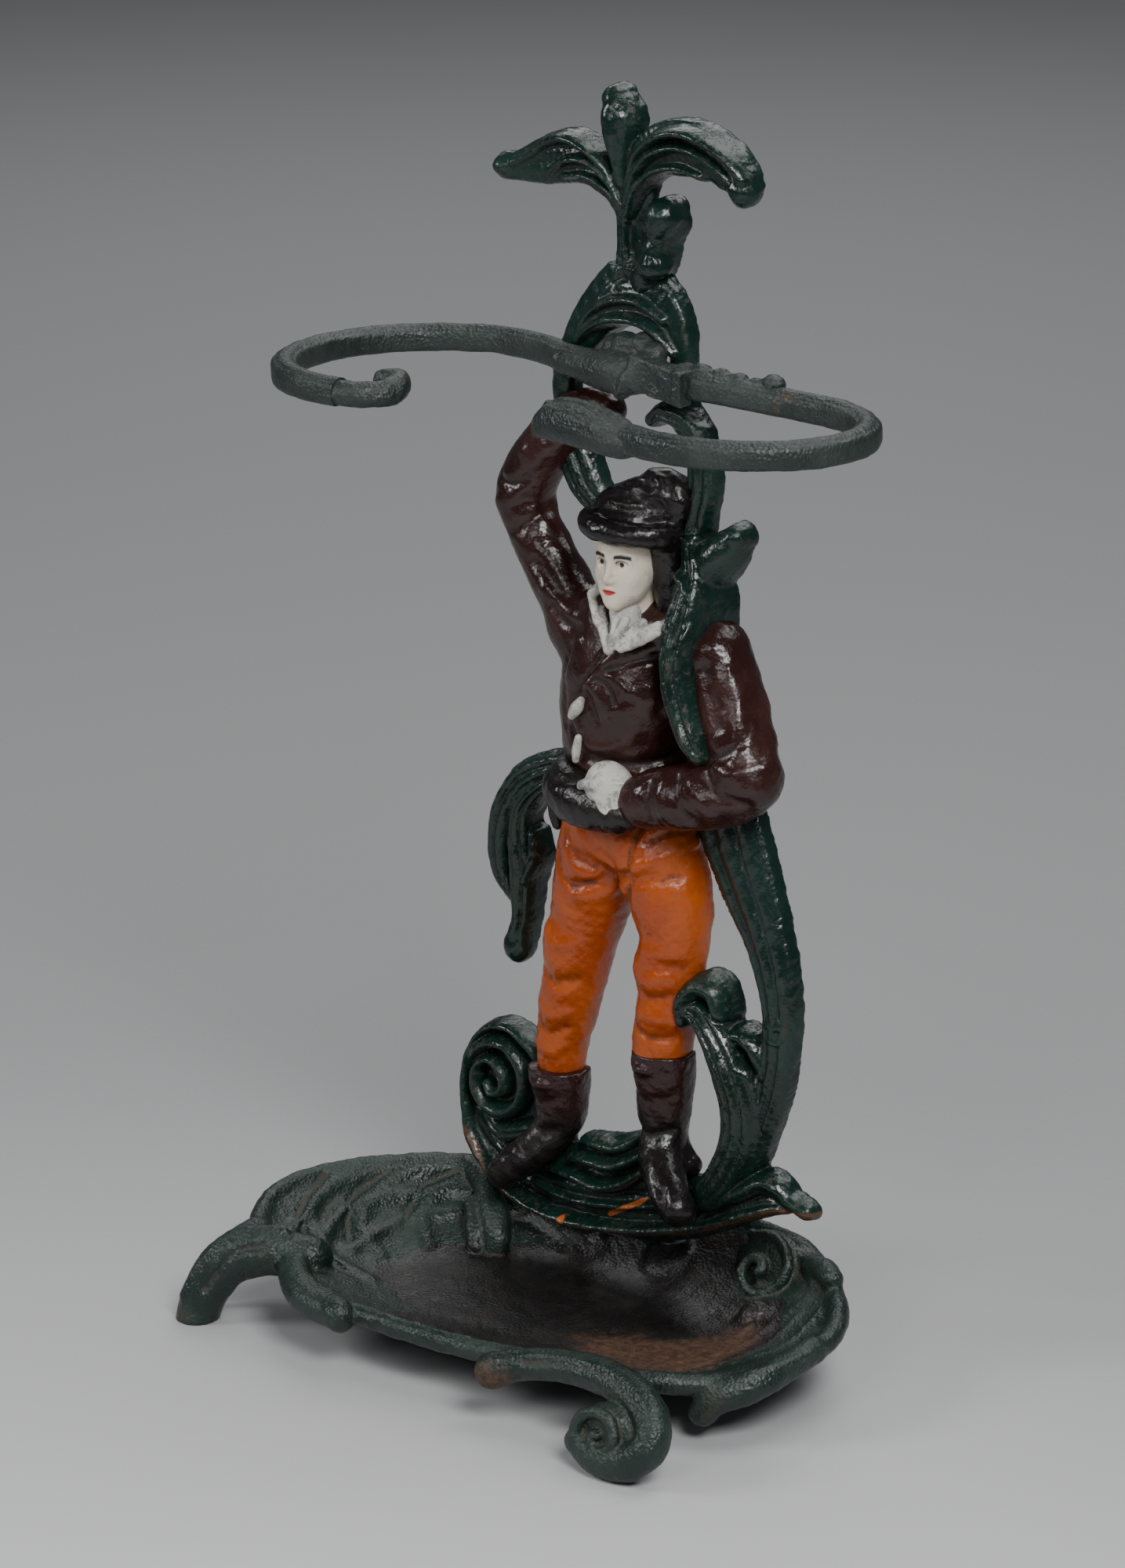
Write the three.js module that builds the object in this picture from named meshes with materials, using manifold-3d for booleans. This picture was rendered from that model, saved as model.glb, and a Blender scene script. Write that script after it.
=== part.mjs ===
// Cast-iron umbrella stand: a rococo drip tray, a figure-and-scroll back casting that stands in it,
// and a two-loop umbrella holder, held together by one bolt at the top and two at the bottom.
// Millimetres, +Z up, front towards -Y.

import * as THREE from 'three';
import { mergeVertices } from 'three/addons/utils/BufferGeometryUtils.js';
import Module from 'manifold-3d';

const wasm = await Module();
wasm.setup();

// ---------------------------------------------------------------- driving dimensions

// whole object
const BACK_HEIGHT = 660; // back casting, lowest edge of the boat scroll to the finial tip
const BACK_WIDTH = 276; // back casting, left volute to right tail
const BACK_FOOT_Z = 40; // height of the boat scroll's lowest edge above the floor
const TRAY_LENGTH = 356; // tray along X, rim to rim
const TRAY_DEPTH = 220; // tray along Y, rim to rim

// wall thicknesses
const TRAY_WALL = 6;
const FIGURE_WALL = 6; // shell of the hollow-backed figure
const SCROLL_DEPTH = 13; // ordinary scroll bands
const ARCH_DEPTH = 12; // bands that the holder's bars pass in front of
const TRAY_FLOOR_Z = 22; // top of the tray's floor

// umbrella holder
const BAR_WIDTH = 11;
const BAR_HEIGHT = 14;
const LEFT_LOOP = { rx: 76, ry: 77 }; // centre-line radii of the loops
const RIGHT_LOOP = { rx: 75, ry: 60 };
const LEFT_LOOP_GAP = 25; // hub centre to the near side of each loop
const RIGHT_LOOP_GAP = 48;
const LEFT_LOOP_BACKSET = 23; // how far each loop's back strand lies behind the hub
const RIGHT_LOOP_BACKSET = 6;
const HUB_RADIUS = 15;
const HUB_DEPTH = 22;
const HUB_RISE = 24; // dome above the bar's centre line
const TAB_THICKNESS = 7; // tongue of the back casting behind the hub
const TAB_WIDTH = 30;
const TAB_DROP = 20; // tongue below the hub's centre

// fasteners
const BOLT_DIAMETER = 8;
const HEAD_ACROSS = 13;
const HEAD_THICKNESS = 5.5;
const NUT_THICKNESS = 6.5;
const WASHER_RADIUS = 9;
const WASHER_THICKNESS = 1.6;
const BOLT_CLEARANCE = 0.5; // round every shank, on the radius
const SEAT_GAP = 0.3; // between faces that bear on each other

// joint between back casting and tray
const LUG_X = [-44, 20];
const LUG_Y = 14;
const LUG_RADIUS = 12;
const LUG_THICKNESS = 8;
const PAD_TOP_Z = 42;
const PAD_BOTTOM_Z = 14;

// ---------------------------------------------------------------- solids

function toSolid(geometry) {
  const bare = geometry.index ? geometry.toNonIndexed() : geometry.clone();
  bare.deleteAttribute('normal');
  bare.deleteAttribute('uv');
  const merged = mergeVertices(bare, 1e-4);
  const index = merged.index.array;
  const faces = [];
  for (let i = 0; i < index.length; i += 3) {
    const [a, b, c] = [index[i], index[i + 1], index[i + 2]];
    if (a !== b && b !== c && c !== a) faces.push(a, b, c);
  }
  return new wasm.Manifold(new wasm.Mesh({
    numProp: 3,
    vertProperties: new Float32Array(merged.attributes.position.array),
    triVerts: new Uint32Array(faces),
  }));
}

function toGeometry(solid) {
  const mesh = solid.getMesh();
  const geometry = new THREE.BufferGeometry();
  geometry.setAttribute('position', new THREE.BufferAttribute(new Float32Array(mesh.vertProperties), 3));
  geometry.setIndex(new THREE.BufferAttribute(new Uint32Array(mesh.triVerts), 1));
  geometry.computeVertexNormals();
  return geometry;
}

const join = (solids) => solids.reduce((all, next) => all.add(next));

function block(x0, x1, y0, y1, z0, z1) {
  const box = new THREE.BoxGeometry(x1 - x0, y1 - y0, z1 - z0);
  box.translate((x0 + x1) / 2, (y0 + y1) / 2, (z0 + z1) / 2);
  return toSolid(box);
}

function post(x, y, z0, z1, radius, sides = 24) {
  const rod = new THREE.CylinderGeometry(radius, radius, z1 - z0, sides);
  rod.rotateX(Math.PI / 2);
  rod.translate(x, y, (z0 + z1) / 2);
  return toSolid(rod);
}

function peg(x, z, y0, y1, radius, sides = 24) {
  const rod = new THREE.CylinderGeometry(radius, radius, y1 - y0, sides);
  rod.translate(x, (y0 + y1) / 2, z);
  return toSolid(rod);
}

function egg(x, y, z, rx, ry, rz) {
  const ball = new THREE.SphereGeometry(1, 12, 8);
  ball.scale(rx, ry, rz);
  ball.translate(x, y, z);
  return toSolid(ball);
}

// ---------------------------------------------------------------- relief work of the back casting

// The casting was drawn 276 wide and 660 high; a place on the drawing becomes a place on the casting.
const DRAWN_WIDTH = 276;
const DRAWN_HEIGHT = 660;
const DRAWN_FOOT_Z = 40;
const WIDE = BACK_WIDTH / DRAWN_WIDTH;
const HIGH = BACK_HEIGHT / DRAWN_HEIGHT;
const placeX = (x) => x * WIDE;
const placeZ = (z) => BACK_FOOT_Z + (z - DRAWN_FOOT_Z) * HIGH;

const BACK_OVERCUT = 3; // relief runs this far behind the flat back before it is trimmed

function reliefPlate(shape, depth) {
  const plate = new THREE.ExtrudeGeometry(shape, { depth: depth + BACK_OVERCUT, bevelEnabled: false });
  plate.rotateX(Math.PI / 2);
  plate.translate(0, BACK_OVERCUT, 0);
  return toSolid(plate);
}

// A scroll band: [x, z, half width] along its centre line, with round ends.
function band(points, depth = SCROLL_DEPTH, samples = 2 * points.length + 1) {
  const line = new THREE.CatmullRomCurve3(
    points.map(([x, z, half]) => new THREE.Vector3(placeX(x), placeZ(z), half)),
  );
  const spots = line.getPoints(samples);
  const left = [];
  const right = [];
  spots.forEach((spot, i) => {
    const along = spots[Math.min(i + 1, samples)].clone().sub(spots[Math.max(i - 1, 0)]);
    along.z = 0;
    along.normalize();
    left.push(new THREE.Vector2(spot.x - along.y * spot.z, spot.y + along.x * spot.z));
    right.push(new THREE.Vector2(spot.x + along.y * spot.z, spot.y - along.x * spot.z));
  });
  const roundEnd = (spot, from) => {
    const start = Math.atan2(from.y - spot.y, from.x - spot.x);
    return [1, 2].map((step) => new THREE.Vector2(
      spot.x + spot.z * Math.cos(start - (step * Math.PI) / 3),
      spot.y + spot.z * Math.sin(start - (step * Math.PI) / 3),
    ));
  };
  const outline = [
    ...left,
    ...roundEnd(spots[samples], left[samples]),
    ...right.reverse(),
    ...roundEnd(spots[0], right[right.length - 1]),
  ];
  return reliefPlate(new THREE.Shape(outline), depth);
}

// A limb of the figure, half sunk in the flat back: [x, z, radius] at both ends, and its depth.
function limb([ax, az, ar], [bx, bz, br], depth) {
  const start = new THREE.Vector3(placeX(ax), 0, placeZ(az));
  const end = new THREE.Vector3(placeX(bx), 0, placeZ(bz));
  const length = start.distanceTo(end);
  const profile = [];
  for (let step = 0; step <= 3; step += 1) {
    const turn = (step / 3 - 1) * (Math.PI / 2);
    profile.push(new THREE.Vector2(ar * Math.cos(turn), ar * Math.sin(turn)));
  }
  for (let step = 0; step <= 3; step += 1) {
    const turn = (step / 3) * (Math.PI / 2);
    profile.push(new THREE.Vector2(br * Math.cos(turn), length + br * Math.sin(turn)));
  }
  profile[0].x = 0;
  profile[profile.length - 1].x = 0;
  const lathe = new THREE.LatheGeometry(profile, 12);
  const turn = new THREE.Quaternion().setFromUnitVectors(
    new THREE.Vector3(0, 1, 0),
    end.clone().sub(start).normalize(),
  );
  lathe.applyQuaternion(turn);
  lathe.scale(1, depth / Math.max(ar, br), 1);
  lathe.translate(start.x, 0, start.z);
  return toSolid(lathe);
}

const HUB = { x: placeX(19), y: -TAB_THICKNESS - SEAT_GAP, z: placeZ(543) };

function crest() {
  const stem = band([[4, 596, 7], [5, 620, 7], [5, 642, 8]]);
  const finial = band([[6, 640, 6], [7, 662, 8], [3, 679, 13], [-1, 688, 12]], 22);
  const leftLeaf = band([[2, 630, 5], [-12, 647, 9], [-32, 656, 13], [-54, 652, 14], [-72, 645, 10],
    [-81, 646, 6]], 18);
  const rightLeaf = band([[8, 630, 5], [20, 654, 10], [42, 668, 14], [66, 671, 14], [84, 662, 11],
    [90, 651, 7]], 18);
  const bud = band([[14, 596, 9], [28, 610, 11], [40, 626, 12], [42, 636, 9]], 22);
  const archLeft = band([[8, 598, 8], [-12, 577, 7], [-30, 553, 7], [-38, 532, 7], [-38, 512, 7]], ARCH_DEPTH);
  const archRight = band([[14, 590, 8], [36, 586, 8], [50, 574, 7], [56, 555, 7], [62, 530, 7]],
    ARCH_DEPTH);
  const hood = band([[-16, 566, 5], [0, 580, 6], [22, 587, 6], [40, 578, 6]], 20);
  return [stem, finial, leftLeaf, rightLeaf, bud, archLeft, archRight, hood];
}

function sideScrolls() {
  const rightLimb = band([[60, 535, 7], [70, 515, 8], [75, 495, 8], [68, 474, 8], [57, 455, 7],
    [50, 435, 7]], ARCH_DEPTH);
  const shoulderLeaf = band([[50, 440, 8], [47, 412, 9], [52, 387, 9], [63, 367, 7], [73, 352, 4]], 48);
  const innerCurl = band([[62, 524, 6], [48, 520, 6], [36, 514, 6]], 14);
  const leftLimb = band([[-38, 513, 7], [-35, 500, 8], [-26, 482, 8], [-12, 468, 8]]);
  const sideBud = band([[48, 424, 7], [64, 440, 8], [80, 455, 10], [94, 466, 8]], 20);
  const knob = band([[56, 430, 8], [74, 424, 8], [80, 408, 7]], 24);
  const acanthusOuter = band([[-38, 311, 8], [-64, 297, 8], [-82, 274, 8], [-88, 252, 8], [-86, 234, 5]], 16);
  const acanthusInner = band([[-52, 298, 9], [-66, 272, 8], [-66, 245, 8], [-66, 222, 7], [-74, 203, 8]], 18);
  const longStem = band([[78, 315, 9], [103, 289, 9], [119, 257, 9], [127, 218, 9], [126, 182, 9],
    [118, 144, 8], [104, 106, 8]], 18);
  return [rightLimb, shoulderLeaf, innerCurl, leftLimb, sideBud, knob, acanthusOuter, acanthusInner,
    longStem];
}

function footScrolls() {
  const lowerLeaf = band([[66, 204, 9], [80, 190, 10], [89, 165, 12], [93, 140, 13], [90, 115, 12],
    [76, 90, 10]], 26);
  const leafLobe = band([[84, 188, 7], [102, 178, 7], [110, 158, 6], [106, 134, 6]], 16);
  const volute = peg(placeX(-88), placeZ(114), -SCROLL_DEPTH, BACK_OVERCUT, 31, 28);
  const spiral = band([0, 1, 2, 3, 4, 5, 6, 7, 8].map((step) => {
    const angle = -0.6 - (step * Math.PI) / 3.6;
    const radius = 28 - step * 2.7;
    return [-88 + radius * Math.cos(angle), 114 + radius * Math.sin(angle), 3.5];
  }), 20);
  const boat = new THREE.Shape(
    [[-118, 104], [-116, 76], [-92, 54], [-61, 43], [-24, 40], [18, 43], [60, 56], [94, 74], [118, 90],
      [140, 94], [150, 92], [158, 97], [148, 106], [130, 116], [112, 114], [96, 104], [62, 96],
      [44, 112], [30, 98], [6, 104], [-12, 92], [-44, 84], [-70, 92]]
      .map(([x, z]) => new THREE.Vector2(placeX(x), placeZ(z))),
  );
  return [lowerLeaf, leafLobe, volute, spiral, reliefPlate(boat, 20)];
}

// The shell parts of the figure: ends of each limb and how far it stands out.
const SHELL_LIMBS = [
  [[8, 376, 46], [8, 322, 42], 44], // chest to waist
  [[8, 318, 42], [9, 286, 40], 38], // hips
  [[-15, 278, 17], [-21, 225, 16], 33], // left thigh, as seen from the front
  [[40, 278, 19], [44, 232, 16], 35], // right thigh
  [[-21, 225, 16], [-38, 168, 13], 29], // knees down to the boot tops
  [[44, 232, 16], [39, 166, 14], 31],
  [[-26, 400, 17], [-50, 430, 14], 28], // raised arm
  [[-50, 430, 14], [-72, 468, 14], 26],
  [[-72, 468, 14], [-50, 508, 13], 24],
  [[82, 402, 18], [106, 352, 15], 36], // lowered arm
];

function figure() {
  const shell = SHELL_LIMBS.map(([start, end, depth]) => limb(start, end, depth));
  const boots = [
    limb([-39, 162, 15], [-40, 104, 12], 30),
    limb([38, 160, 16], [41, 112, 12], 32),
    limb([-42, 98, 11], [-76, 74, 10], 30),
    limb([42, 106, 11], [48, 88, 11], 50),
  ];
  const hand = limb([-50, 508, 12], [-38, 519, 11], 22);
  const forearm = [
    egg(placeX(112), -24, placeZ(342), 16, 20, 17),
    egg(placeX(86), -32, placeZ(334), 26, 17, 15),
    egg(placeX(50), -38, placeZ(326), 24, 16, 15),
    egg(placeX(16), -42, placeZ(322), 17, 11, 14),
  ];
  const head = [
    egg(placeX(16), -18, placeZ(410), 14, 17, 22), // neck and collar
    egg(placeX(20), -24, placeZ(440), 19, 22, 27),
    egg(placeX(24), -18, placeZ(472), 25, 28, 20), // cap
    egg(placeX(24), -16, placeZ(461), 27, 30, 8), // rolled brim
  ];
  return [...shell, ...boots, hand, ...forearm, ...head];
}

// The same limbs one wall smaller, which leaves the figure a shell that is open at the back.
function figureHollow() {
  return SHELL_LIMBS.map(([[ax, az, ar], [bx, bz, br], depth]) => limb(
    [ax, az, ar - FIGURE_WALL],
    [bx, bz, br - FIGURE_WALL],
    depth - FIGURE_WALL,
  ));
}

function lugFoot(x, grow = 0) {
  const tongue = block(
    x - LUG_RADIUS - grow,
    x + LUG_RADIUS + grow,
    -6,
    LUG_Y,
    PAD_TOP_Z + SEAT_GAP - grow,
    PAD_TOP_Z + SEAT_GAP + LUG_THICKNESS + grow,
  );
  const tip = post(x, LUG_Y, PAD_TOP_Z + SEAT_GAP - grow,
    PAD_TOP_Z + SEAT_GAP + LUG_THICKNESS + grow, LUG_RADIUS + grow);
  return tongue.add(tip);
}

function figureBack() {
  const frontWork = join([...crest(), ...sideScrolls(), ...footScrolls(), ...figure()]);
  const behind = block(-400, 400, 0, 400, -200, 1200);
  const tab = block(HUB.x - TAB_WIDTH / 2, HUB.x + TAB_WIDTH / 2, -TAB_THICKNESS, 0,
    HUB.z - TAB_DROP, placeZ(586));
  const tabHole = peg(HUB.x, HUB.z, -TAB_THICKNESS - 1, 1, BOLT_DIAMETER / 2 + BOLT_CLEARANCE);
  // the hub needs its seat clear of any scroll or hand in front of the tongue
  const hubSeat = block(HUB.x - HUB_RADIUS - 3, HUB.x + HUB_RADIUS + 3, -60, -TAB_THICKNESS,
    HUB.z - 12, HUB.z + HUB_RISE - 4);
  let casting = frontWork.subtract(behind).subtract(join(figureHollow())).subtract(hubSeat);
  casting = casting.add(tab).subtract(tabHole);
  for (const x of LUG_X) {
    casting = casting.add(lugFoot(x));
    casting = casting.subtract(post(x, LUG_Y, 0, PAD_TOP_Z + 40, BOLT_DIAMETER / 2 + BOLT_CLEARANCE));
  }
  return casting;
}

// ---------------------------------------------------------------- umbrella holder

function bar(points, width = BAR_WIDTH, height = BAR_HEIGHT, steps = 3 * points.length) {
  const path = new THREE.CatmullRomCurve3(points.map(([x, y]) => new THREE.Vector3(x, y, HUB.z)));
  const w = width / 2;
  const h = height / 2;
  const section = new THREE.Shape([
    new THREE.Vector2(-h, 0),
    new THREE.Vector2(-h * 0.55, w),
    new THREE.Vector2(h * 0.8, w),
    new THREE.Vector2(h, w * 0.7),
    new THREE.Vector2(h, -w * 0.7),
    new THREE.Vector2(h * 0.8, -w),
    new THREE.Vector2(-h * 0.55, -w),
  ]);
  return toSolid(new THREE.ExtrudeGeometry(section, { extrudePath: path, steps, bevelEnabled: false }));
}

function loopArc(loop, centre, fromDegrees, toDegrees, count) {
  return Array.from({ length: count }, (_, i) => {
    const angle = ((fromDegrees + ((toDegrees - fromDegrees) * i) / (count - 1)) * Math.PI) / 180;
    return [centre[0] + loop.rx * Math.cos(angle), centre[1] + loop.ry * Math.sin(angle)];
  });
}

const HUB_AXIS_Y = HUB.y - HUB_DEPTH / 2;
const BAR_PASS_Y = -(ARCH_DEPTH + BAR_WIDTH / 2 + 1); // clears the arch that the bars pass in front of
const LEFT_CENTRE = [
  HUB.x - LEFT_LOOP_GAP - LEFT_LOOP.rx,
  HUB_AXIS_Y + LEFT_LOOP_BACKSET - LEFT_LOOP.ry,
];
const RIGHT_CENTRE = [
  HUB.x + RIGHT_LOOP_GAP + RIGHT_LOOP.rx,
  HUB_AXIS_Y + RIGHT_LOOP_BACKSET - RIGHT_LOOP.ry,
];

function umbrellaHolder() {
  const leftArc = loopArc(LEFT_LOOP, LEFT_CENTRE, 100, 300, 11);
  const leftBar = bar([[HUB.x, HUB_AXIS_Y], [HUB.x - 30, BAR_PASS_Y], [placeX(-46), BAR_PASS_Y - 1], ...leftArc]);
  const [endX, endY] = leftArc[leftArc.length - 1];
  const curl = bar(
    [[endX, endY], [endX + 7, endY + 12], [endX - 2, endY + 23], [endX - 13, endY + 20]],
    BAR_WIDTH - 2,
    BAR_HEIGHT - 1,
  );
  const rightArc = loopArc(RIGHT_LOOP, RIGHT_CENTRE, 100, -118, 11);
  const [bladeX, bladeY] = rightArc[rightArc.length - 1];
  const rightBar = bar([[HUB.x, HUB_AXIS_Y], [HUB.x + 35, BAR_PASS_Y - 1], [placeX(78), BAR_PASS_Y], ...rightArc,
    [bladeX - 26, bladeY + 9]]);
  const blade = bar(
    [[bladeX - 22, bladeY + 8], [bladeX - 44, bladeY + 7], [bladeX - 66, bladeY - 2]],
    BAR_WIDTH + 3,
    BAR_HEIGHT + 3,
  );
  const hubBlock = peg(HUB.x, HUB.z, HUB.y - HUB_DEPTH, HUB.y, 11, 20);
  const dome = egg(HUB.x, HUB_AXIS_Y, HUB.z + 8, HUB_RADIUS, HUB_DEPTH / 2, HUB_RISE - 8);
  const drape = egg(HUB.x + 4, HUB.y - HUB_DEPTH + 2, HUB.z - 2, 13, 8, 15);
  const behindSeat = block(HUB.x - TAB_WIDTH, HUB.x + TAB_WIDTH, HUB.y, HUB.y + 60, HUB.z - 60, HUB.z + 60);
  const boltHole = peg(HUB.x, HUB.z, HUB.y - HUB_DEPTH * 0.7, HUB.y + 1, BOLT_DIAMETER / 2 + BOLT_CLEARANCE);
  const hub = join([hubBlock, dome, drape]).subtract(behindSeat);
  return join([leftBar, curl, rightBar, blade, hub]).subtract(boltHole);
}

// ---------------------------------------------------------------- tray

// Rim of the tray as drawn, 356 long and 220 deep: [x, y, rim height], counterclockwise.
const DRAWN_LENGTH = 356;
const DRAWN_DEPTH = 220;
const TRAY_MIDDLE = [5, -62];
const RIM = [
  [181, -52, 42], [180, -20, 48], [150, 8, 52], [118, 24, 56], [75, 42, 50], [0, 46, 48], [-70, 34, 54],
  [-118, 4, 58], [-150, -35, 59], [-172, -80, 59], [-174, -122, 55], [-152, -152, 48], [-118, -160, 42],
  [-88, -170, 40], [-50, -173, 38], [0, -168, 36], [45, -160, 36], [90, -146, 38], [138, -134, 38],
  [165, -95, 38],
];
const trayX = (x) => (x * TRAY_LENGTH) / DRAWN_LENGTH;
const trayY = (y) => (y * TRAY_DEPTH) / DRAWN_DEPTH;

// Profile from under the middle, out to the rim and back: [share of reach, share of rise, out, up].
const TRAY_PROFILE = [
  [0, 0, 0, -TRAY_WALL],
  [0.58, 0, 0, -TRAY_WALL],
  [0.8, 0.34, 2, -TRAY_WALL],
  [1, 1, -1, -TRAY_WALL - 4],
  [1, 1, 2, -TRAY_WALL],
  [1, 1, 1, -1],
  [1, 1, -3, 0],
  [1, 1, -8, -4],
  [0.8, 0.34, -2, 0],
  [0.58, 0, 0, 0],
  [0, 0, 0, 0],
];

function dish() {
  const around = 44;
  const rim = new THREE.CatmullRomCurve3(
    RIM.map(([x, y, z]) => new THREE.Vector3(trayX(x), trayY(y), z)),
    true,
  );
  const [cx, cy] = [trayX(TRAY_MIDDLE[0]), trayY(TRAY_MIDDLE[1])];
  const lathe = new THREE.LatheGeometry(
    TRAY_PROFILE.map(([reach, , , up]) => new THREE.Vector2(reach, up)),
    around,
  );
  const place = lathe.attributes.position;
  for (let i = 0; i <= around; i += 1) {
    const edge = rim.getPoint((i % around) / around);
    const reach = Math.hypot(edge.x - cx, edge.y - cy);
    TRAY_PROFILE.forEach(([share, rise, out, up], j) => {
      const span = share + out / reach;
      place.setXYZ(
        i * TRAY_PROFILE.length + j,
        cx + (edge.x - cx) * span,
        cy + (edge.y - cy) * span,
        TRAY_FLOOR_Z + (edge.z - TRAY_FLOOR_Z) * rise + up,
      );
    });
  }
  return toSolid(lathe);
}

function rod(points, radius, steps = 2 * points.length) {
  const path = new THREE.CatmullRomCurve3(
    points.map(([x, y, z]) => new THREE.Vector3(trayX(x), trayY(y), z)),
  );
  const section = new THREE.Shape();
  section.absarc(0, 0, radius, 0, Math.PI * 2, false);
  return toSolid(new THREE.ExtrudeGeometry(section, {
    extrudePath: path,
    steps,
    curveSegments: 4,
    bevelEnabled: false,
  }));
}

function trayFeet() {
  const leafLeg = [
    rod([[-116, -138, 36], [-146, -158, 42], [-162, -176, 24], [-166, -184, -6]], 13),
    rod([[-136, -146, 40], [-156, -166, 36]], 15),
  ];
  const scrollFoot = [
    rod([[34, -164, 28], [58, -168, 36], [92, -166, 38], [124, -166, 32], [146, -174, 18]], 10),
    rod([[34, -158, 27], [34, -172, 27]], 11),
    peg(trayX(136), 19, trayY(-192), trayY(-166), 22, 24),
  ];
  const droop = rod([[162, -104, 32], [158, -108, 22], [154, -108, 12]], 9);
  const rearFeet = [-96, 112].map((x) => rod([[x, -14, 26], [x, 4, 20], [x, 16, 8], [x, 18, -6]], 10));
  const rimCurl = rod([[-72, -178, 34], [-50, -180, 33]], 8);
  const knob = rod([[160, -2, 46], [176, 2, 50]], 7);
  return [...leafLeg, ...scrollFoot, droop, ...rearFeet, rimCurl, knob];
}

function trayReliefs() {
  const endScroll = rod([[-84, 26, 42], [-66, 16, 40], [-60, 2, 32]], 9);
  const voluteRelief = rod([[96, 8, 38], [116, 14, 46], [126, 0, 44]], 11);
  const leafRib = rod([[-150, -96, 46], [-128, -60, 42], [-98, -22, 40]], 8);
  return [endScroll, voluteRelief, leafRib];
}

function baseTray() {
  let tray = join([dish(), ...trayFeet(), ...trayReliefs()]);
  tray = tray.subtract(block(-400, 400, -400, 400, -100, 0));
  for (const x of LUG_X) {
    tray = tray.add(post(x, LUG_Y, PAD_BOTTOM_Z, PAD_TOP_Z, LUG_RADIUS));
    tray = tray.subtract(lugFoot(x, 0.5).intersect(block(-400, 400, -400, 400, PAD_TOP_Z, 200)));
    tray = tray.subtract(post(x, LUG_Y, -10, PAD_TOP_Z + 1, BOLT_DIAMETER / 2 + BOLT_CLEARANCE));
  }
  return tray;
}

// ---------------------------------------------------------------- fasteners

const NUT_ROOM = PAD_BOTTOM_Z - WASHER_THICKNESS - NUT_THICKNESS - 2 * SEAT_GAP;
const HEAD_SEAT_Z = PAD_TOP_Z + LUG_THICKNESS + WASHER_THICKNESS + 3 * SEAT_GAP;

function washer(radius = WASHER_RADIUS) {
  const bore = BOLT_DIAMETER / 2 + BOLT_CLEARANCE;
  const half = WASHER_THICKNESS / 2;
  return new THREE.LatheGeometry([
    new THREE.Vector2(bore, -half),
    new THREE.Vector2(radius, -half),
    new THREE.Vector2(radius, half),
    new THREE.Vector2(bore, half),
    new THREE.Vector2(bore, -half),
  ], 24);
}

function squareBlock(thickness, bored) {
  const half = HEAD_ACROSS / 2;
  const outline = new THREE.Shape([
    new THREE.Vector2(-half, -half),
    new THREE.Vector2(half, -half),
    new THREE.Vector2(half, half),
    new THREE.Vector2(-half, half),
  ]);
  if (bored) {
    const hole = new THREE.Path();
    hole.absarc(0, 0, BOLT_DIAMETER / 2 + SEAT_GAP, 0, Math.PI * 2, true);
    outline.holes.push(hole);
  }
  return new THREE.ExtrudeGeometry(outline, { depth: thickness, bevelEnabled: false, curveSegments: 6 });
}

// A square-headed bolt pointing down -Z, with its head's seat at z = 0.
function bolt(length) {
  const head = toSolid(squareBlock(HEAD_THICKNESS, false));
  return head.add(post(0, 0, -length, HEAD_THICKNESS / 2, BOLT_DIAMETER / 2));
}

// ---------------------------------------------------------------- assembly

const stand = new THREE.Group();

function addPiece(name, geometry, colour, roughness, metalness) {
  const material = new THREE.MeshStandardMaterial({ color: colour, roughness, metalness });
  const mesh = new THREE.Mesh(geometry, material);
  mesh.name = name;
  stand.add(mesh);
  return mesh;
}

addPiece('base_tray', toGeometry(baseTray()), 0x2b3a35, 0.65, 0.2);
addPiece('figure_back', toGeometry(figureBack()), 0x12291f, 0.3, 0.2);
addPiece('umbrella_holder', toGeometry(umbrellaHolder()), 0x2b3a35, 0.65, 0.2);

LUG_X.forEach((x, i) => {
  const side = ['left', 'right'][i];
  const boltLength = HEAD_SEAT_Z - NUT_ROOM + 2;
  addPiece(`base_bolt_${side}`, toGeometry(bolt(boltLength)), 0x3a3431, 0.6, 0.8)
    .position.set(x, LUG_Y, HEAD_SEAT_Z);
  addPiece(`base_washer_${side}`, washer(), 0x3a3431, 0.6, 0.8)
    .geometry.rotateX(Math.PI / 2).translate(x, LUG_Y, HEAD_SEAT_Z - SEAT_GAP - WASHER_THICKNESS / 2);
  addPiece(`base_nut_${side}`, squareBlock(NUT_THICKNESS, true), 0x3a3431, 0.6, 0.8)
    .position.set(x, LUG_Y, NUT_ROOM);
  addPiece(`nut_washer_${side}`, washer(), 0x3a3431, 0.6, 0.8)
    .geometry.rotateX(Math.PI / 2).translate(x, LUG_Y, PAD_BOTTOM_Z - SEAT_GAP - WASHER_THICKNESS / 2);
});

const holderBolt = addPiece(
  'holder_bolt',
  toGeometry(bolt(HUB_DEPTH * 0.6 + TAB_THICKNESS + WASHER_THICKNESS)),
  0x3a3431, 0.6, 0.8,
);
holderBolt.rotation.x = -Math.PI / 2;
holderBolt.position.set(HUB.x, WASHER_THICKNESS + 2 * SEAT_GAP, HUB.z);
addPiece('holder_washer', washer(), 0x3a3431, 0.6, 0.8)
  .geometry.translate(HUB.x, SEAT_GAP + WASHER_THICKNESS / 2, HUB.z);

// the origin goes on the floor, under the middle of the whole stand
const reach = new THREE.Box3().setFromObject(stand);
stand.position.set(-(reach.min.x + reach.max.x) / 2, -(reach.min.y + reach.max.y) / 2, 0);
const group = new THREE.Group();
group.add(stand);

export default group;
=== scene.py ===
import math
import random

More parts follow.
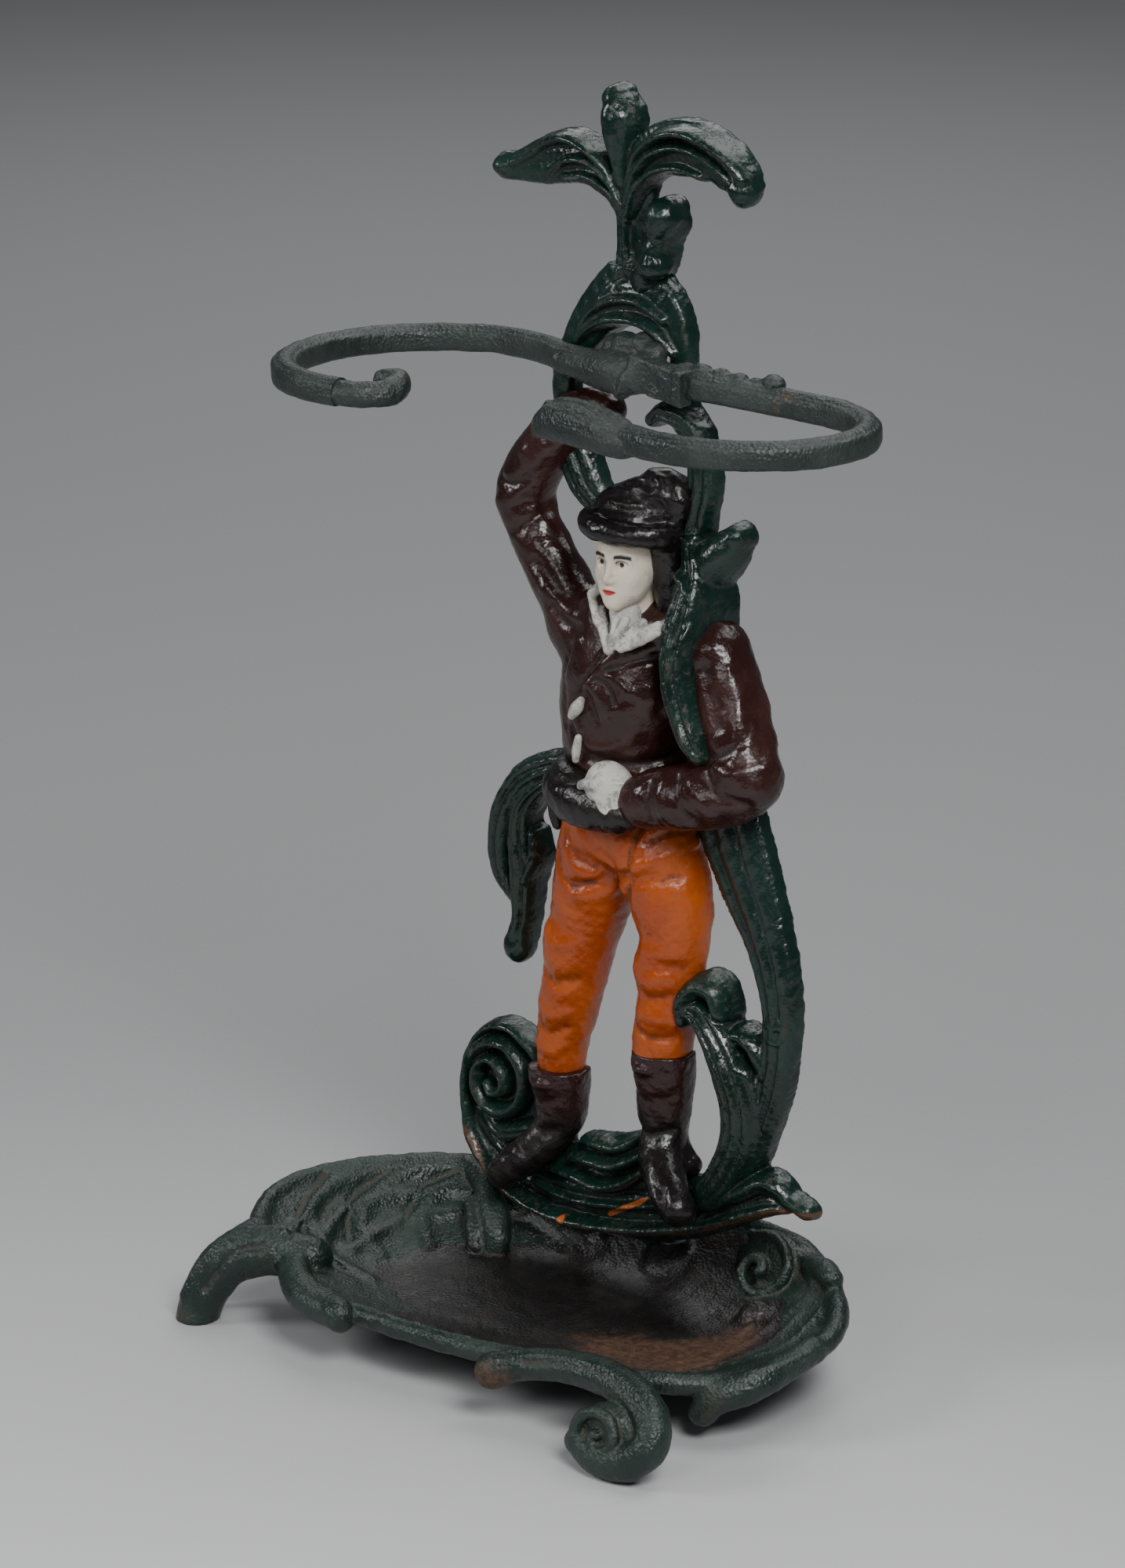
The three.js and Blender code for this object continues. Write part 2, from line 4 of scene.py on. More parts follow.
import bmesh
import bpy
import mathutils
import numpy as np
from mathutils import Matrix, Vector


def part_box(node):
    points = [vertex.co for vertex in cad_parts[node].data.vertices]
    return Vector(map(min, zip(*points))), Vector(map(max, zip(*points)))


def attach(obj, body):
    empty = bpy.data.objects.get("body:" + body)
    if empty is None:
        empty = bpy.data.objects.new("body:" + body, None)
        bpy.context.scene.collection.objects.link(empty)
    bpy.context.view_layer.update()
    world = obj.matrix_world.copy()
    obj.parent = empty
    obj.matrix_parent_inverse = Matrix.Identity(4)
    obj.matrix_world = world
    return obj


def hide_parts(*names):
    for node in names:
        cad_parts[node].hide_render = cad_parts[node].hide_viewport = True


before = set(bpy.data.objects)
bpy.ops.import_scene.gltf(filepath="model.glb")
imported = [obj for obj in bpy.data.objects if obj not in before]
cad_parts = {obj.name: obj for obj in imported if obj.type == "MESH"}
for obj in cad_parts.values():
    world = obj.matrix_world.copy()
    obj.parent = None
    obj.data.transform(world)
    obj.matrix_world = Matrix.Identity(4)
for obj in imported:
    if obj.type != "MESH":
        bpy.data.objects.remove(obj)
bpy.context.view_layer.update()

import openvdb

# ---------------------------------------------------------------------------------------------
# Drip tray. One iron casting: a shell-shaped dish with a rolled rim, a leaf foot, a scroll foot,
# two rear feet and leaf relief up its back-left wall. Painted grey-green, with a black floor.
# ---------------------------------------------------------------------------------------------

# The castings are sculpted in millimetres about the middle of the back casting's flat back.
bolt_low, bolt_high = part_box("base_bolt_left")
LUGS_X = (-44, 20)
LUGS_Y = 14
CENTRE_X = (bolt_low[0] + bolt_high[0]) / 2 * 1000 - LUGS_X[0]
CENTRE_Y = (bolt_low[1] + bolt_high[1]) / 2 * 1000 - LUGS_Y
TO_FRAME = np.array([CENTRE_X, CENTRE_Y, 0.0])
# distance that an empty grid holds, the heaviest mesh allowed, and how strongly a bend shows in paint
OUTSIDE = 30.0
MOST_TRIANGLES = 190000
BEND_TO_MARK = 1.6


def plain_object(name, data):
    made = bpy.data.objects.new(name, data)
    bpy.context.scene.collection.objects.link(made)
    return made


def mesh_as_shown(thing):
    """The mesh of an object with its modifiers worked in."""
    bpy.context.view_layer.update()
    shown = thing.evaluated_get(bpy.context.evaluated_depsgraph_get())
    return bpy.data.meshes.new_from_object(shown)


def smooth_path(rows, count):
    """Rows of numbers through given ones, with a Catmull-Rom curve between them."""
    rows = np.array(rows, float)
    ends = np.vstack([2 * rows[0] - rows[1], rows, 2 * rows[-1] - rows[-2]])
    out = []
    for step in np.linspace(0, len(rows) - 1, count):
        i = min(int(step), len(rows) - 2)
        t = step - i
        a, b, c, d = ends[i], ends[i + 1], ends[i + 2], ends[i + 3]
        out.append(0.5 * (2 * b + (c - a) * t + (2 * a - 5 * b + 4 * c - d) * t**2
                          + (3 * b - a - 3 * c + d) * t**3))
    return np.array(out)


def ring_path(rows, count):
    """A smooth closed path through given rows."""
    rows = [tuple(row) for row in rows]
    wrapped = rows[-2:] + rows + rows[:3]
    path = smooth_path(wrapped, (len(wrapped) - 1) * 8 + 1)
    inner = path[16:16 + len(rows) * 8 + 1]
    pick = np.linspace(0, len(inner) - 1, count).astype(int)
    return inner[pick]


def ease(value, start, stop):
    """0 before start, 1 after stop, smooth between."""
    t = np.clip((value - start) / (stop - start), 0, 1)
    return t * t * (3 - 2 * t)


def path_distance(x, y, z, path):
    """Distance from a chain of tapered rods: rows of x, y, z, radius."""
    best = None
    for a, b in zip(path[:-1], path[1:]):
        run = b[:3] - a[:3]
        length = max(float(run @ run), 1e-9)
        t = np.clip(((x - a[0]) * run[0] + (y - a[1]) * run[1] + (z - a[2]) * run[2]) / length, 0, 1)
        away = np.sqrt((x - a[0] - t * run[0]) ** 2 + (y - a[1] - t * run[1]) ** 2
                       + (z - a[2] - t * run[2]) ** 2) - (a[3] + t * (b[3] - a[3]))
        best = away if best is None else np.minimum(best, away)
    return best


def soft_min(a, b, soft):
    mix = np.clip(0.5 + 0.5 * (b - a) / soft, 0, 1)
    return b + (a - b) * mix - soft * mix * (1 - mix)


def soft_max(a, b, soft):
    return -soft_min(-a, -b, soft)


def ripple(x, y, z, size, seed):
    """A gentle unevenness from -1 to 1, with lumps of about the given size."""
    rng = random.Random(seed)
    total = 0
    for _ in range(5):
        wave = [rng.uniform(-1, 1) for _ in range(3)]
        norm = math.sqrt(sum(w * w for w in wave)) * size / (2 * math.pi)
        total = total + np.sin((x * wave[0] + y * wave[1] + z * wave[2]) / norm + rng.uniform(0, 6.28))
    return total / 5


class Clay:
    """A block that a pattern for a casting is sculpted in: a grid of distances from the surface."""

    def __init__(self, low, high, grain):
        self.low, self.grain = np.array(low, float), grain
        counts = [int(math.ceil((h - l) / grain)) + 1 for l, h in zip(low, high)]
        self.field = np.full(counts, OUTSIDE, np.float32)

    def window(self, low, high):
        start = [max(int((l - o) / self.grain), 0) for l, o in zip(low, self.low)]
        stop = [min(int(math.ceil((h - o) / self.grain)) + 1, n)
                for h, o, n in zip(high, self.low, self.field.shape)]
        cut = tuple(slice(a, max(b, a)) for a, b in zip(start, stop))
        axes = [np.float32(self.low[i]) + np.float32(self.grain) * np.arange(cut[i].start, cut[i].stop,
                                                                             dtype=np.float32)
                for i in range(3)]
        return cut, axes[0][:, None, None], axes[1][None, :, None], axes[2][None, None, :]

    def add(self, low, high, shape, soft):
        pad = soft + 3
        cut, x, y, z = self.window(np.array(low) - pad, np.array(high) + pad)
        if min(self.field[cut].shape) > 0:
            self.field[cut] = soft_min(self.field[cut], shape(x, y, z), soft)

    def cut_away(self, low, high, shape, soft):
        pad = soft + 3
        cut, x, y, z = self.window(np.array(low) - pad, np.array(high) + pad)
        if min(self.field[cut].shape) > 0:
            self.field[cut] = soft_max(self.field[cut], -shape(x, y, z), soft)

    def ball(self, centre, radii, soft, cut=False):
        c, r = np.array(centre, float), np.array(radii, float) * np.ones(3)

        def shape(x, y, z):
            u, v, w = (x - c[0]) / r[0], (y - c[1]) / r[1], (z - c[2]) / r[2]
            near = np.sqrt(u * u + v * v + w * w) + 1e-6
            steep = np.sqrt((u / r[0]) ** 2 + (v / r[1]) ** 2 + (w / r[2]) ** 2) + 1e-6
            return near * (near - 1) / steep

        (self.cut_away if cut else self.add)(c - r, c + r, shape, soft)

    def rod(self, rows, soft, count=None, flat=1.0, cut=False):
        """A tapered rod through rows of x, y, z, radius; flat stretches it along Y from the flat back."""
        path = smooth_path(rows, count or 4 * len(rows)) if len(rows) > 2 else np.array(rows, float)
        path = path.copy()
        path[:, 1] /= flat
        reach = path[:, 3:4]
        low, high = (path[:, :3] - reach).min(0), (path[:, :3] + reach).max(0)
        low[1], high[1] = low[1] * flat, high[1] * flat

        def shape(x, y, z):
            return path_distance(x, y / flat, z, path)

        (self.cut_away if cut else self.add)(low, high, shape, soft)

    def stroke(self, rows, width, height):
        """Raises a ridge, or with a negative height sinks a groove, along rows of x, y, z."""
        path = smooth_path(rows, 4 * len(rows)) if len(rows) > 2 else np.array(rows, float)
        path = np.column_stack([path[:, :3], np.zeros(len(path))])
        low, high = path[:, :3].min(0) - 2.6 * width, path[:, :3].max(0) + 2.6 * width
        cut, x, y, z = self.window(low, high)
        if min(self.field[cut].shape) > 0:
            away = path_distance(x, y, z, path)
            self.field[cut] -= np.float32(height) * np.exp(-((away / width) ** 2))

    def front(self, x, z):
        """How far forward the surface lies at x, z."""
        i = min(max(int(round((x - self.low[0]) / self.grain)), 0), self.field.shape[0] - 1)
        k = min(max(int(round((z - self.low[2]) / self.grain)), 0), self.field.shape[2] - 1)
        column = self.field[i, :, k]
        inside = np.nonzero(column < 0)[0]
        if not len(inside):
            return float(self.low[1] + self.grain * np.argmin(column))
        j = inside[0]
        return float(self.low[1] + self.grain * j)

    def fold(self, rows, width, height):
        """A stroke laid on the front of the work, along rows of x, z."""
        self.stroke([(x, self.front(x, z), z) for x, z in rows], width, height)

    def band(self, rows, ribs=1, groove=2.2, edge=0.3, fade=0.12):
        """A scroll band in relief with a flat back: rows of x, z, half width, depth along its middle.
        ribs is its number of rounded strands, groove how deep they are parted, edge how thick its
        sides are beside its middle, and fade the share of its length over which the grooves run out.
        """
        path = smooth_path(rows, 6 * len(rows))
        half = path[:, 2].max()
        low = (path[:, 0].min() - half, -path[:, 3].max() - 3, path[:, 1].min() - half)
        high = (path[:, 0].max() + half, 1.0, path[:, 1].max() + half)

        def shape(x, y, z):
            near = np.full(np.broadcast(x, z).shape, 1e9, np.float32)
            side, along = np.zeros_like(near), np.zeros_like(near)
            last = len(path) - 1
            for i, (a, b) in enumerate(zip(path[:-1], path[1:])):
                run = b[:2] - a[:2]
                t = np.clip(((x - a[0]) * run[0] + (z - a[1]) * run[1]) / max(run @ run, 1e-9), 0, 1)
                off = np.sqrt((x - a[0] - t * run[0]) ** 2 + (z - a[1] - t * run[1]) ** 2)
                turn = np.sign(run[0] * (z - a[1]) - run[1] * (x - a[0]))
                closer = off < near
                near = np.where(closer, off, near)
                side = np.where(closer, turn, side)
                along = np.where(closer, (i + t) / last, along)
            place = np.linspace(0, 1, len(path))
            wide = np.interp(along, place, path[:, 2])
            deep = np.interp(along, place, path[:, 3])
            share = np.clip(near / wide, 0, 1)
            dome = edge + (1 - edge) * np.sqrt(1 - share**2)
            rounds = np.abs(np.sin(math.pi * (side * share + 1) / 2 * ribs)) ** 0.7
            strength = groove * ease(along, 0, fade) * ease(1 - along, 0, fade)
            height = deep * dome - strength * (1 - rounds) * (share < 0.93)
            solid = soft_max(near - wide, -(y + height), 2.5)
            return soft_max(solid, y, 1.0)

        self.add(low, high, shape, 2.5)

    def roughen(self, size, height, seed):
        """The slight unevenness that a sand mould leaves."""
        thin = np.abs(self.field) < 3
        i, j, k = np.nonzero(thin)
        x, y, z = (self.low[a] + self.grain * n for a, n in enumerate((i, j, k)))
        self.field[thin] += (height * ripple(x, y, z, size, seed)).astype(np.float32)

    def blurred(self, reach):
        out = self.field
        for axis in range(3):
            padded = np.concatenate([np.repeat(out.take([0], axis), reach, axis), out,
                                     np.repeat(out.take([-1], axis), reach, axis)], axis)
            total = np.cumsum(padded, axis, dtype=np.float32)
            total = np.concatenate([np.zeros_like(total.take([0], axis)), total], axis)
            span = 2 * reach + 1
            size = out.shape[axis]
            out = (total.take(range(span, span + size), axis) - total.take(range(size), axis)) / span
        return out

    def cast(self, name, node, paint=None):
        """Pours the sculpted shape: a closed mesh with paint marks for worn ridges, and for hollows, which
        take dirt and, on light paints, a dark painted shade.
        """
        grid = openvdb.FloatGrid(OUTSIDE)
        grid.copyFromArray(self.field)
        points, _, quads = grid.convertToPolygons(0.0, 0.0)
        bend = self.blurred(2) - self.field
        spot = np.clip(np.rint(points).astype(int), 0, np.array(self.field.shape) - 1)
        bend = bend[spot[:, 0], spot[:, 1], spot[:, 2]] / self.grain
        place = points * self.grain + self.low
        mesh = bpy.data.meshes.new(name)
        mesh.vertices.add(len(points))
        mesh.vertices.foreach_set("co", ((place + TO_FRAME) / 1000).astype(np.float32).ravel())
        mesh.loops.add(len(quads) * 4)
        mesh.loops.foreach_set("vertex_index", quads.astype(np.int32).ravel())
        mesh.polygons.add(len(quads))
        mesh.polygons.foreach_set("loop_start", np.arange(0, len(quads) * 4, 4, dtype=np.int32))
        # the hollow mark carries dirt, and on light paints a dark painted shade in creases and recesses
        marks = {"worn": np.clip(bend * BEND_TO_MARK, 0, 1),
                 "grime": np.clip(-bend * BEND_TO_MARK, 0, 1)}
        marks.update(paint(place) if paint else {})
        for mark, values in marks.items():
            layer = mesh.attributes.new(mark, "FLOAT", "POINT")
            layer.data.foreach_set("value", np.asarray(values, np.float32))
        mesh.update(calc_edges=True)
        mesh.validate()
        mesh.shade_smooth()
        piece = plain_object(name, mesh)
        share = MOST_TRIANGLES / (2 * len(quads))
        if share < 1:
            # thin the mesh where it is flattest
            thin = piece.modifiers.new("thin", "DECIMATE")
            thin.ratio = share
            lighter = mesh_as_shown(piece)
            piece.modifiers.remove(thin)
            piece.data = lighter
            bpy.data.meshes.remove(mesh)
            lighter.name = name
        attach(piece, "root")
        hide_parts(node)
        return piece


def add_node(tree, kind, settings=(), **inputs):
    """A node with its settings; inputs go by socket name, or by n and the socket's number."""
    made = tree.nodes.new(kind)
    for key, value in settings:
        setattr(made, key, value)
    for key, value in inputs.items():
        socket = made.inputs[int(key[1:]) if key.startswith("n") else key.replace("_", " ")]
        if hasattr(value, "links"):
            tree.links.new(value, socket)
        else:
            socket.default_value = value
    return made


class Paint:
    """A paint recipe: a node material built up from a base colour, dirt and painted crease shade, wear and
    casting texture.
    """

    def __init__(self, name):
        self.material = bpy.data.materials.new(name)
        self.material.use_nodes = True
        self.tree = self.material.node_tree
        self.shader = self.tree.nodes["Principled BSDF"]
        self.place = self.tree.nodes.new("ShaderNodeTexCoord").outputs["Object"]

    def node(self, kind, settings=(), **inputs):
        return add_node(self.tree, kind, settings, **inputs)

    def noise(self, scale, detail, rough):
        return self.node("ShaderNodeTexNoise", Vector=self.place, Scale=scale, Detail=detail,
                         Roughness=rough).outputs["Fac"]

    def mark(self, name):
        return self.node("ShaderNodeAttribute", [("attribute_name", name)]).outputs["Fac"]

    def maths(self, kind, a, b):
        return self.node("ShaderNodeMath", [("operation", kind)], n0=a, n1=b).outputs[0]

    def part(self, source, share):
        """A share of a source: the share is a number or another source."""
        return self.maths("MULTIPLY", source, share)

    def both(self, a, share_a, b, share_b):
        """Two sources laid over each other, each by its share."""
        return self.maths("ADD", self.part(a, share_a), self.part(b, share_b))

    def step(self, value, start, stop, low=0.0, high=1.0):
        ramp = self.node("ShaderNodeMapRange", [("interpolation_type", "SMOOTHSTEP")], Value=value,
                         n1=start, n2=stop, n3=low, n4=high)
        return ramp.outputs["Result"]

    def mix(self, share, a, b):
        made = self.tree.nodes.new("ShaderNodeMix")
        made.data_type = "RGBA"
        for socket, value in ((made.inputs[0], share), (made.inputs[6], a), (made.inputs[7], b)):
            if hasattr(value, "links"):
                self.tree.links.new(value, socket)
            else:
                socket.default_value = (*value, 1.0) if isinstance(value, tuple) else value
        return made.outputs[2]

    def finish(self, colour, roughness, bumps):
        """bumps: rows of height source and depth in millimetres, coarse first."""
        self.tree.links.new(colour, self.shader.inputs["Base Color"])
        self.tree.links.new(roughness, self.shader.inputs["Roughness"])
        normal = None
        for height, depth in bumps:
            bump = self.node("ShaderNodeBump", Height=height, Strength=1.0, Distance=depth / 1000)
            if normal:
                self.tree.links.new(normal, bump.inputs["Normal"])
            normal = bump.outputs["Normal"]
        self.tree.links.new(normal, self.shader.inputs["Normal"])
        return self.material


def cast_iron_paint(name, colour, light, dirt_and_shade_colour, gloss, matt, pits, coarse, wear, worn):
    """Brushed enamel over rough iron: gloss on the ridges, dirt and, on light paints, a dark painted shade
    in the hollows, chips on the edges.
    """
    paint = Paint(name)
    broad = paint.noise(28, 5, 0.6)
    fine = paint.noise(240, 4, 0.6)
    speck = paint.noise(900, 3, 0.6)
    base = paint.mix(paint.step(broad, 0.38, 0.68), colour, light)
    # hollows are mixed towards the third colour: dirt, and on light paints a dark painted shade in the
    # creases
    grime = paint.part(paint.step(paint.mark("grime"), 0.12, 0.75), paint.step(fine, 0.3, 0.62))
    base = paint.mix(paint.part(grime, 0.75), base, dirt_and_shade_colour)
    flakes = paint.step(paint.maths("ADD", fine, paint.part(speck, 0.4)), 0.74, 0.86)
    chips = paint.part(paint.step(paint.mark("worn"), 0.25, 0.9), flakes)
    base = paint.mix(paint.part(chips, worn), base, wear)
    rough = paint.step(paint.both(broad, 0.6, fine, 0.4), 0.35, 0.65, gloss, matt)
    rough = paint.maths("ADD", rough, paint.part(grime, 0.35))
    rough = paint.maths("ADD", rough, paint.part(chips, 0.3))
    cells = paint.node("ShaderNodeTexVoronoi", Vector=paint.place, Scale=520.0).outputs["Distance"]
    return paint, base, rough, [(paint.noise(90, 3, 0.5), coarse), (cells, pits), (speck, pits * 0.6)]


TRAY_MIDDLE = (5, -62)
TRAY_FLOOR = 22
TRAY_WALL = 6
# its wall starts this share of the way to the rim, and climbs over the rest with this curve
WALL_START = 0.55
WALL_SPAN = 0.45
WALL_CURVE = 1.4
# rim of the dish: x, y, height, and how thick its rolled edge is
TRAY_RIM = [
    (182, -50, 42, 6), (177, -24, 47, 6), (160, -4, 50, 6), (138, 14, 53, 5), (110, 30, 57, 5),
    (75, 39, 57, 4), (20, 42, 55, 4), (-40, 40, 55, 4), (-90, 24, 55, 5), (-125, -4, 58, 5),
    (-152, -40, 60, 5), (-169, -80, 60, 5), (-170, -116, 56, 5), (-150, -144, 49, 6), (-122, -154, 43, 6),
    (-92, -168, 40, 7), (-50, -173, 38, 6), (0, -168, 36, 6), (45, -160, 36, 6), (90, -149, 38, 6),
    (138, -134, 38, 6), (166, -102, 36, 6),
]
rim = ring_path(TRAY_RIM, 145)
rim_angle = np.unwrap(np.arctan2(rim[:, 1] - TRAY_MIDDLE[1], rim[:, 0] - TRAY_MIDDLE[0]))
rim_reach = np.hypot(rim[:, 0] - TRAY_MIDDLE[0], rim[:, 1] - TRAY_MIDDLE[1])


def tray_reach(angle):
    return np.interp(angle, rim_angle, rim_reach, period=2 * math.pi)


def tray_rim_height(angle):
    return np.interp(angle, rim_angle, rim[:, 2], period=2 * math.pi)


def wall_spot(degrees, share):
    """A place on the inside of the dish: direction from its middle, and share of the way to the rim."""
    angle = math.radians(degrees)
    reach = float(tray_reach(angle)) * share
    rise = max((share - WALL_START) / WALL_SPAN, 0) ** WALL_CURVE
    height = TRAY_FLOOR + (float(tray_rim_height(angle)) - TRAY_FLOOR) * rise
    return (TRAY_MIDDLE[0] + reach * math.cos(angle), TRAY_MIDDLE[1] + reach * math.sin(angle), height)


def dish(x, y, z):
    flat = np.hypot(x - TRAY_MIDDLE[0], y - TRAY_MIDDLE[1])
    angle = np.arctan2(y - TRAY_MIDDLE[1], x - TRAY_MIDDLE[0])
    reach = tray_reach(angle)
    share = flat / reach
    climb = np.clip((share - WALL_START) / WALL_SPAN, 0, None)
    rise = climb**WALL_CURVE
    slope = WALL_CURVE * climb**0.4 * 30 / (WALL_SPAN * reach)
    top = TRAY_FLOOR + (tray_rim_height(angle) - TRAY_FLOOR) * rise
    steep = np.sqrt(1 + slope**2)
    solid = soft_max((z - top) / steep, (top - z) / steep - TRAY_WALL, 1.5)
    return soft_max(solid, flat - reach, 2.0)


tray = Clay((-190, -205, -2), (200, 60, 68), 1.15)
tray.add((-190, -205, 0), (200, 60, 68), dish, 1.0)
tray.rod([(x, y, z - 4, r) for x, y, z, r in rim[::3]], 3.0, count=140)

# leaf relief up the back-left wall
for leaf in (
    [(112, 0.74), (122, 0.86), (138, 0.93), (160, 0.95), (184, 0.94), (206, 0.9)],
    [(120, 0.66), (130, 0.77), (146, 0.84), (166, 0.86), (188, 0.84), (206, 0.8)],
    [(130, 0.6), (143, 0.7), (160, 0.76), (180, 0.75), (198, 0.71)],
):
    tray.stroke([wall_spot(a, s) for a, s in leaf], 4.2, 3.4)
for angle in (134, 150, 166, 182, 198):
    tray.stroke([wall_spot(angle - 20, 0.98), wall_spot(angle - 6, 0.9), wall_spot(angle + 6, 0.78),
                 wall_spot(angle + 12, 0.64)], 4.6, 2.6)
    tray.stroke([wall_spot(angle - 12, 0.97), wall_spot(angle + 2, 0.88), wall_spot(angle + 13, 0.74)],
                2.6, -2.0)

# the leaf wall's rolled right end, curling down under the back casting
tray.rod([(-120, -4, 52, 6), (-104, -10, 51, 7), (-90, -18, 46, 8), (-77, -27, 38, 9), (-69, -33, 29, 8),
          (-70, -36, 23, 6)], 3.0)
tray.rod([(-96, -26, 42, 5), (-84, -36, 33, 6), (-78, -42, 25, 5)], 3.0)
tray.rod([(-62, -22, 36, 5), (-60, -26, 29, 5)], 2.0, cut=True)

# volute relief on the back-right wall, and the hooked leaf beside it
tray.ball((96, 20, 42), (27, 13, 21), 4.0)
spiral = []
for step in range(15):
    turn = 2.2 - step * 0.62
    away = 23 - step * 1.5
    spiral.append((96 + away * math.cos(turn), 8 + away * 0.42 * math.sin(turn) - step * 0.3,
                   45 + away * 0.8 * math.sin(turn)))
tray.rod([(x, y - 1, z, 3.0) for x, y, z in spiral], 1.6, count=70)
tray.rod([(114, 24, 52, 6), (128, 16, 49, 6), (140, 2, 42, 5), (136, -16, 32, 4)], 3.0)
tray.rod([(126, 16, 52, 6), (140, 10, 55, 7), (150, 3, 55, 7)], 3.0)
for side in (0.62, 0.7, 0.78, 0.86):
    tray.stroke([wall_spot(18, side + 0.08), wall_spot(2, side + 0.02), wall_spot(-16, side)], 2.4, 1.3)

# scroll foot at the front right: a rounded end on the rim, a sweep over the top, a volute to the floor
foot = [(64, -176, 32, 10), (78, -168, 37, 9), (100, -162, 41, 9), (126, -160, 43, 10), (152, -163, 42, 10),
        (172, -169, 35, 10), (178, -176, 23, 10), (168, -182, 12, 10), (149, -184, 9, 9), (133, -182, 14, 8)]
tray.rod(foot, 3.0, count=60)
tray.ball((150, -175, 21), (20, 10, 17), 3.0)
volute = []
for step in range(13):
    turn = 3.5 - step * 0.66
    away = 17.5 - step * 1.35
    height = 22 + away * 0.93 * math.sin(turn)
    volute.append((150 + away * math.cos(turn), -186 - (22 - height) * 0.2, height, 3.6 - step * 0.08))
tray.rod(volute, 1.4, count=60)
tray.rod([(86, -156, 36, 6), (112, -150, 38, 8), (140, -150, 38, 8)], 5.0)
tray.stroke([(84, -172, 41), (104, -170, 46), (128, -169, 49), (152, -172, 48), (172, -179, 40)], 2.6, -2.0)

# drooping leaf end at the right front
tray.rod([(184, -52, 40, 7), (183, -74, 36, 8), (178, -95, 31, 9), (166, -109, 25, 9), (160, -114, 17, 8)],
         4.0)
tray.stroke([(192, -60, 44), (186, -86, 41), (172, -106, 35), (163, -116, 26)], 2.6, 1.6)

# rolled rim end at the front left, and the leaf foot
tray.rod([(-112, -150, 38, 7), (-98, -166, 36, 9), (-76, -178, 34, 9), (-52, -180, 33, 8)], 3.0)
tray.rod([(-60, -178, 33, 9), (-48, -181, 33, 9)], 2.0)
tray.rod([(-112, -140, 38, 12), (-132, -156, 41, 14), (-148, -168, 35, 14), (-157, -176, 21, 13),
          (-161, -180, 8, 12.5), (-162, -182, 0, 12.5)], 3.5)
tray.rod([(-150, -148, 46, 8), (-146, -162, 44, 9), (-150, -176, 36, 7)], 4.0)
tray.rod([(-134, -148, 47, 6), (-150, -158, 43, 8), (-162, -167, 28, 8), (-167, -173, 8, 8),
          (-167, -174, 0, 8)], 2.0)
tray.stroke([(-122, -150, 56), (-141, -163, 53), (-156, -178, 40), (-165, -190, 16)], 3.2, 2.6)
tray.stroke([(-126, -164, 48), (-140, -174, 42), (-150, -186, 22)], 2.8, -2.4)

# rear feet, as the hidden corners need them
for x in (-96, 112):
    tray.rod([(x, -14, 26, 11), (x, 4, 19, 11), (x, 16, 8, 10), (x, 18, 0, 10)], 3.0)

# pads that the back casting's lugs are bolted to
PAD_LOW, PAD_TOP, PAD_RADIUS, BOLT_HOLE = 14, 42, 12, 4.6
for lug_x in LUGS_X:
    tray.add((lug_x - 12, 2, 14), (lug_x + 12, 26, 42),
             lambda x, y, z: soft_max(np.hypot(x - lug_x, y - LUGS_Y) - PAD_RADIUS,
                                      np.maximum(z - PAD_TOP, PAD_LOW - z), 1.0), 7.0)
    tray.cut_away((lug_x - 5, 9, 10), (lug_x + 5, 19, 44),
                  lambda x, y, z: np.hypot(x - lug_x, y - LUGS_Y) - BOLT_HOLE, 0.4)
tray.roughen(14, 0.5, 3)
tray.roughen(6, 0.25, 4)
tray.cut_away((-200, -210, -10), (210, 70, 0), lambda x, y, z: z, 0.8)


def tray_paint(place):
    """Where the floor is black, and where its paint has rusted away."""
    x, y, z = place.T
    flat = np.hypot(x - TRAY_MIDDLE[0], y - TRAY_MIDDLE[1])
    angle = np.arctan2(y - TRAY_MIDDLE[1], x - TRAY_MIDDLE[0])
    share = flat / tray_reach(angle)
    height = z - (TRAY_FLOOR - 3)
    inside = ease(height, 0, 3)
    turn = np.degrees(angle) % 360
    left_wall = ease(turn, 112, 128) * ease(250 - turn, 0, 14)
    limit = (0.97 - 0.33 * left_wall - 0.12 * ease(np.cos(angle + 0.2), 0.2, 0.9)
             + 0.03 * ripple(x, y, z, 30, 8))
    black = inside * ease(limit - share, 0, 0.07)
    scroll = ease(-58 - x, 0, 6) * ease(y + 48, 0, 6) * ease(z - 22, 0, 4)
    lobe = ease(1.15 - np.sqrt(((x - 98) / 27) ** 2 + ((y - 12) / 22) ** 2 + ((z - 45) / 21) ** 2), 0, 0.2)
    black = black * (1 - np.maximum(scroll, lobe))
    rust = np.exp(-(((x - 92) / 50) ** 2 + ((y + 92) / 26) ** 2)) + 0.9 * np.exp(
        -(((x - 120) / 26) ** 2 + ((y + 60) / 44) ** 2))
    spots = (np.exp(-(((x - 66) / 16) ** 2 + ((y + 178) / 14) ** 2 + ((z - 30) / 12) ** 2))
             + 0.6 * np.exp(-(((x + 166) / 16) ** 2 + ((y + 190) / 14) ** 2 + ((z - 2) / 9) ** 2))
             + 0.6 * np.exp(-(((x - 165) / 12) ** 2 + ((y + 112) / 14) ** 2 + ((z - 22) / 16) ** 2)))
    return {"black": black, "rust": np.clip(rust * inside + spots, 0, 1)}


tray_piece = tray.cast("drip_tray", "base_tray", tray_paint)

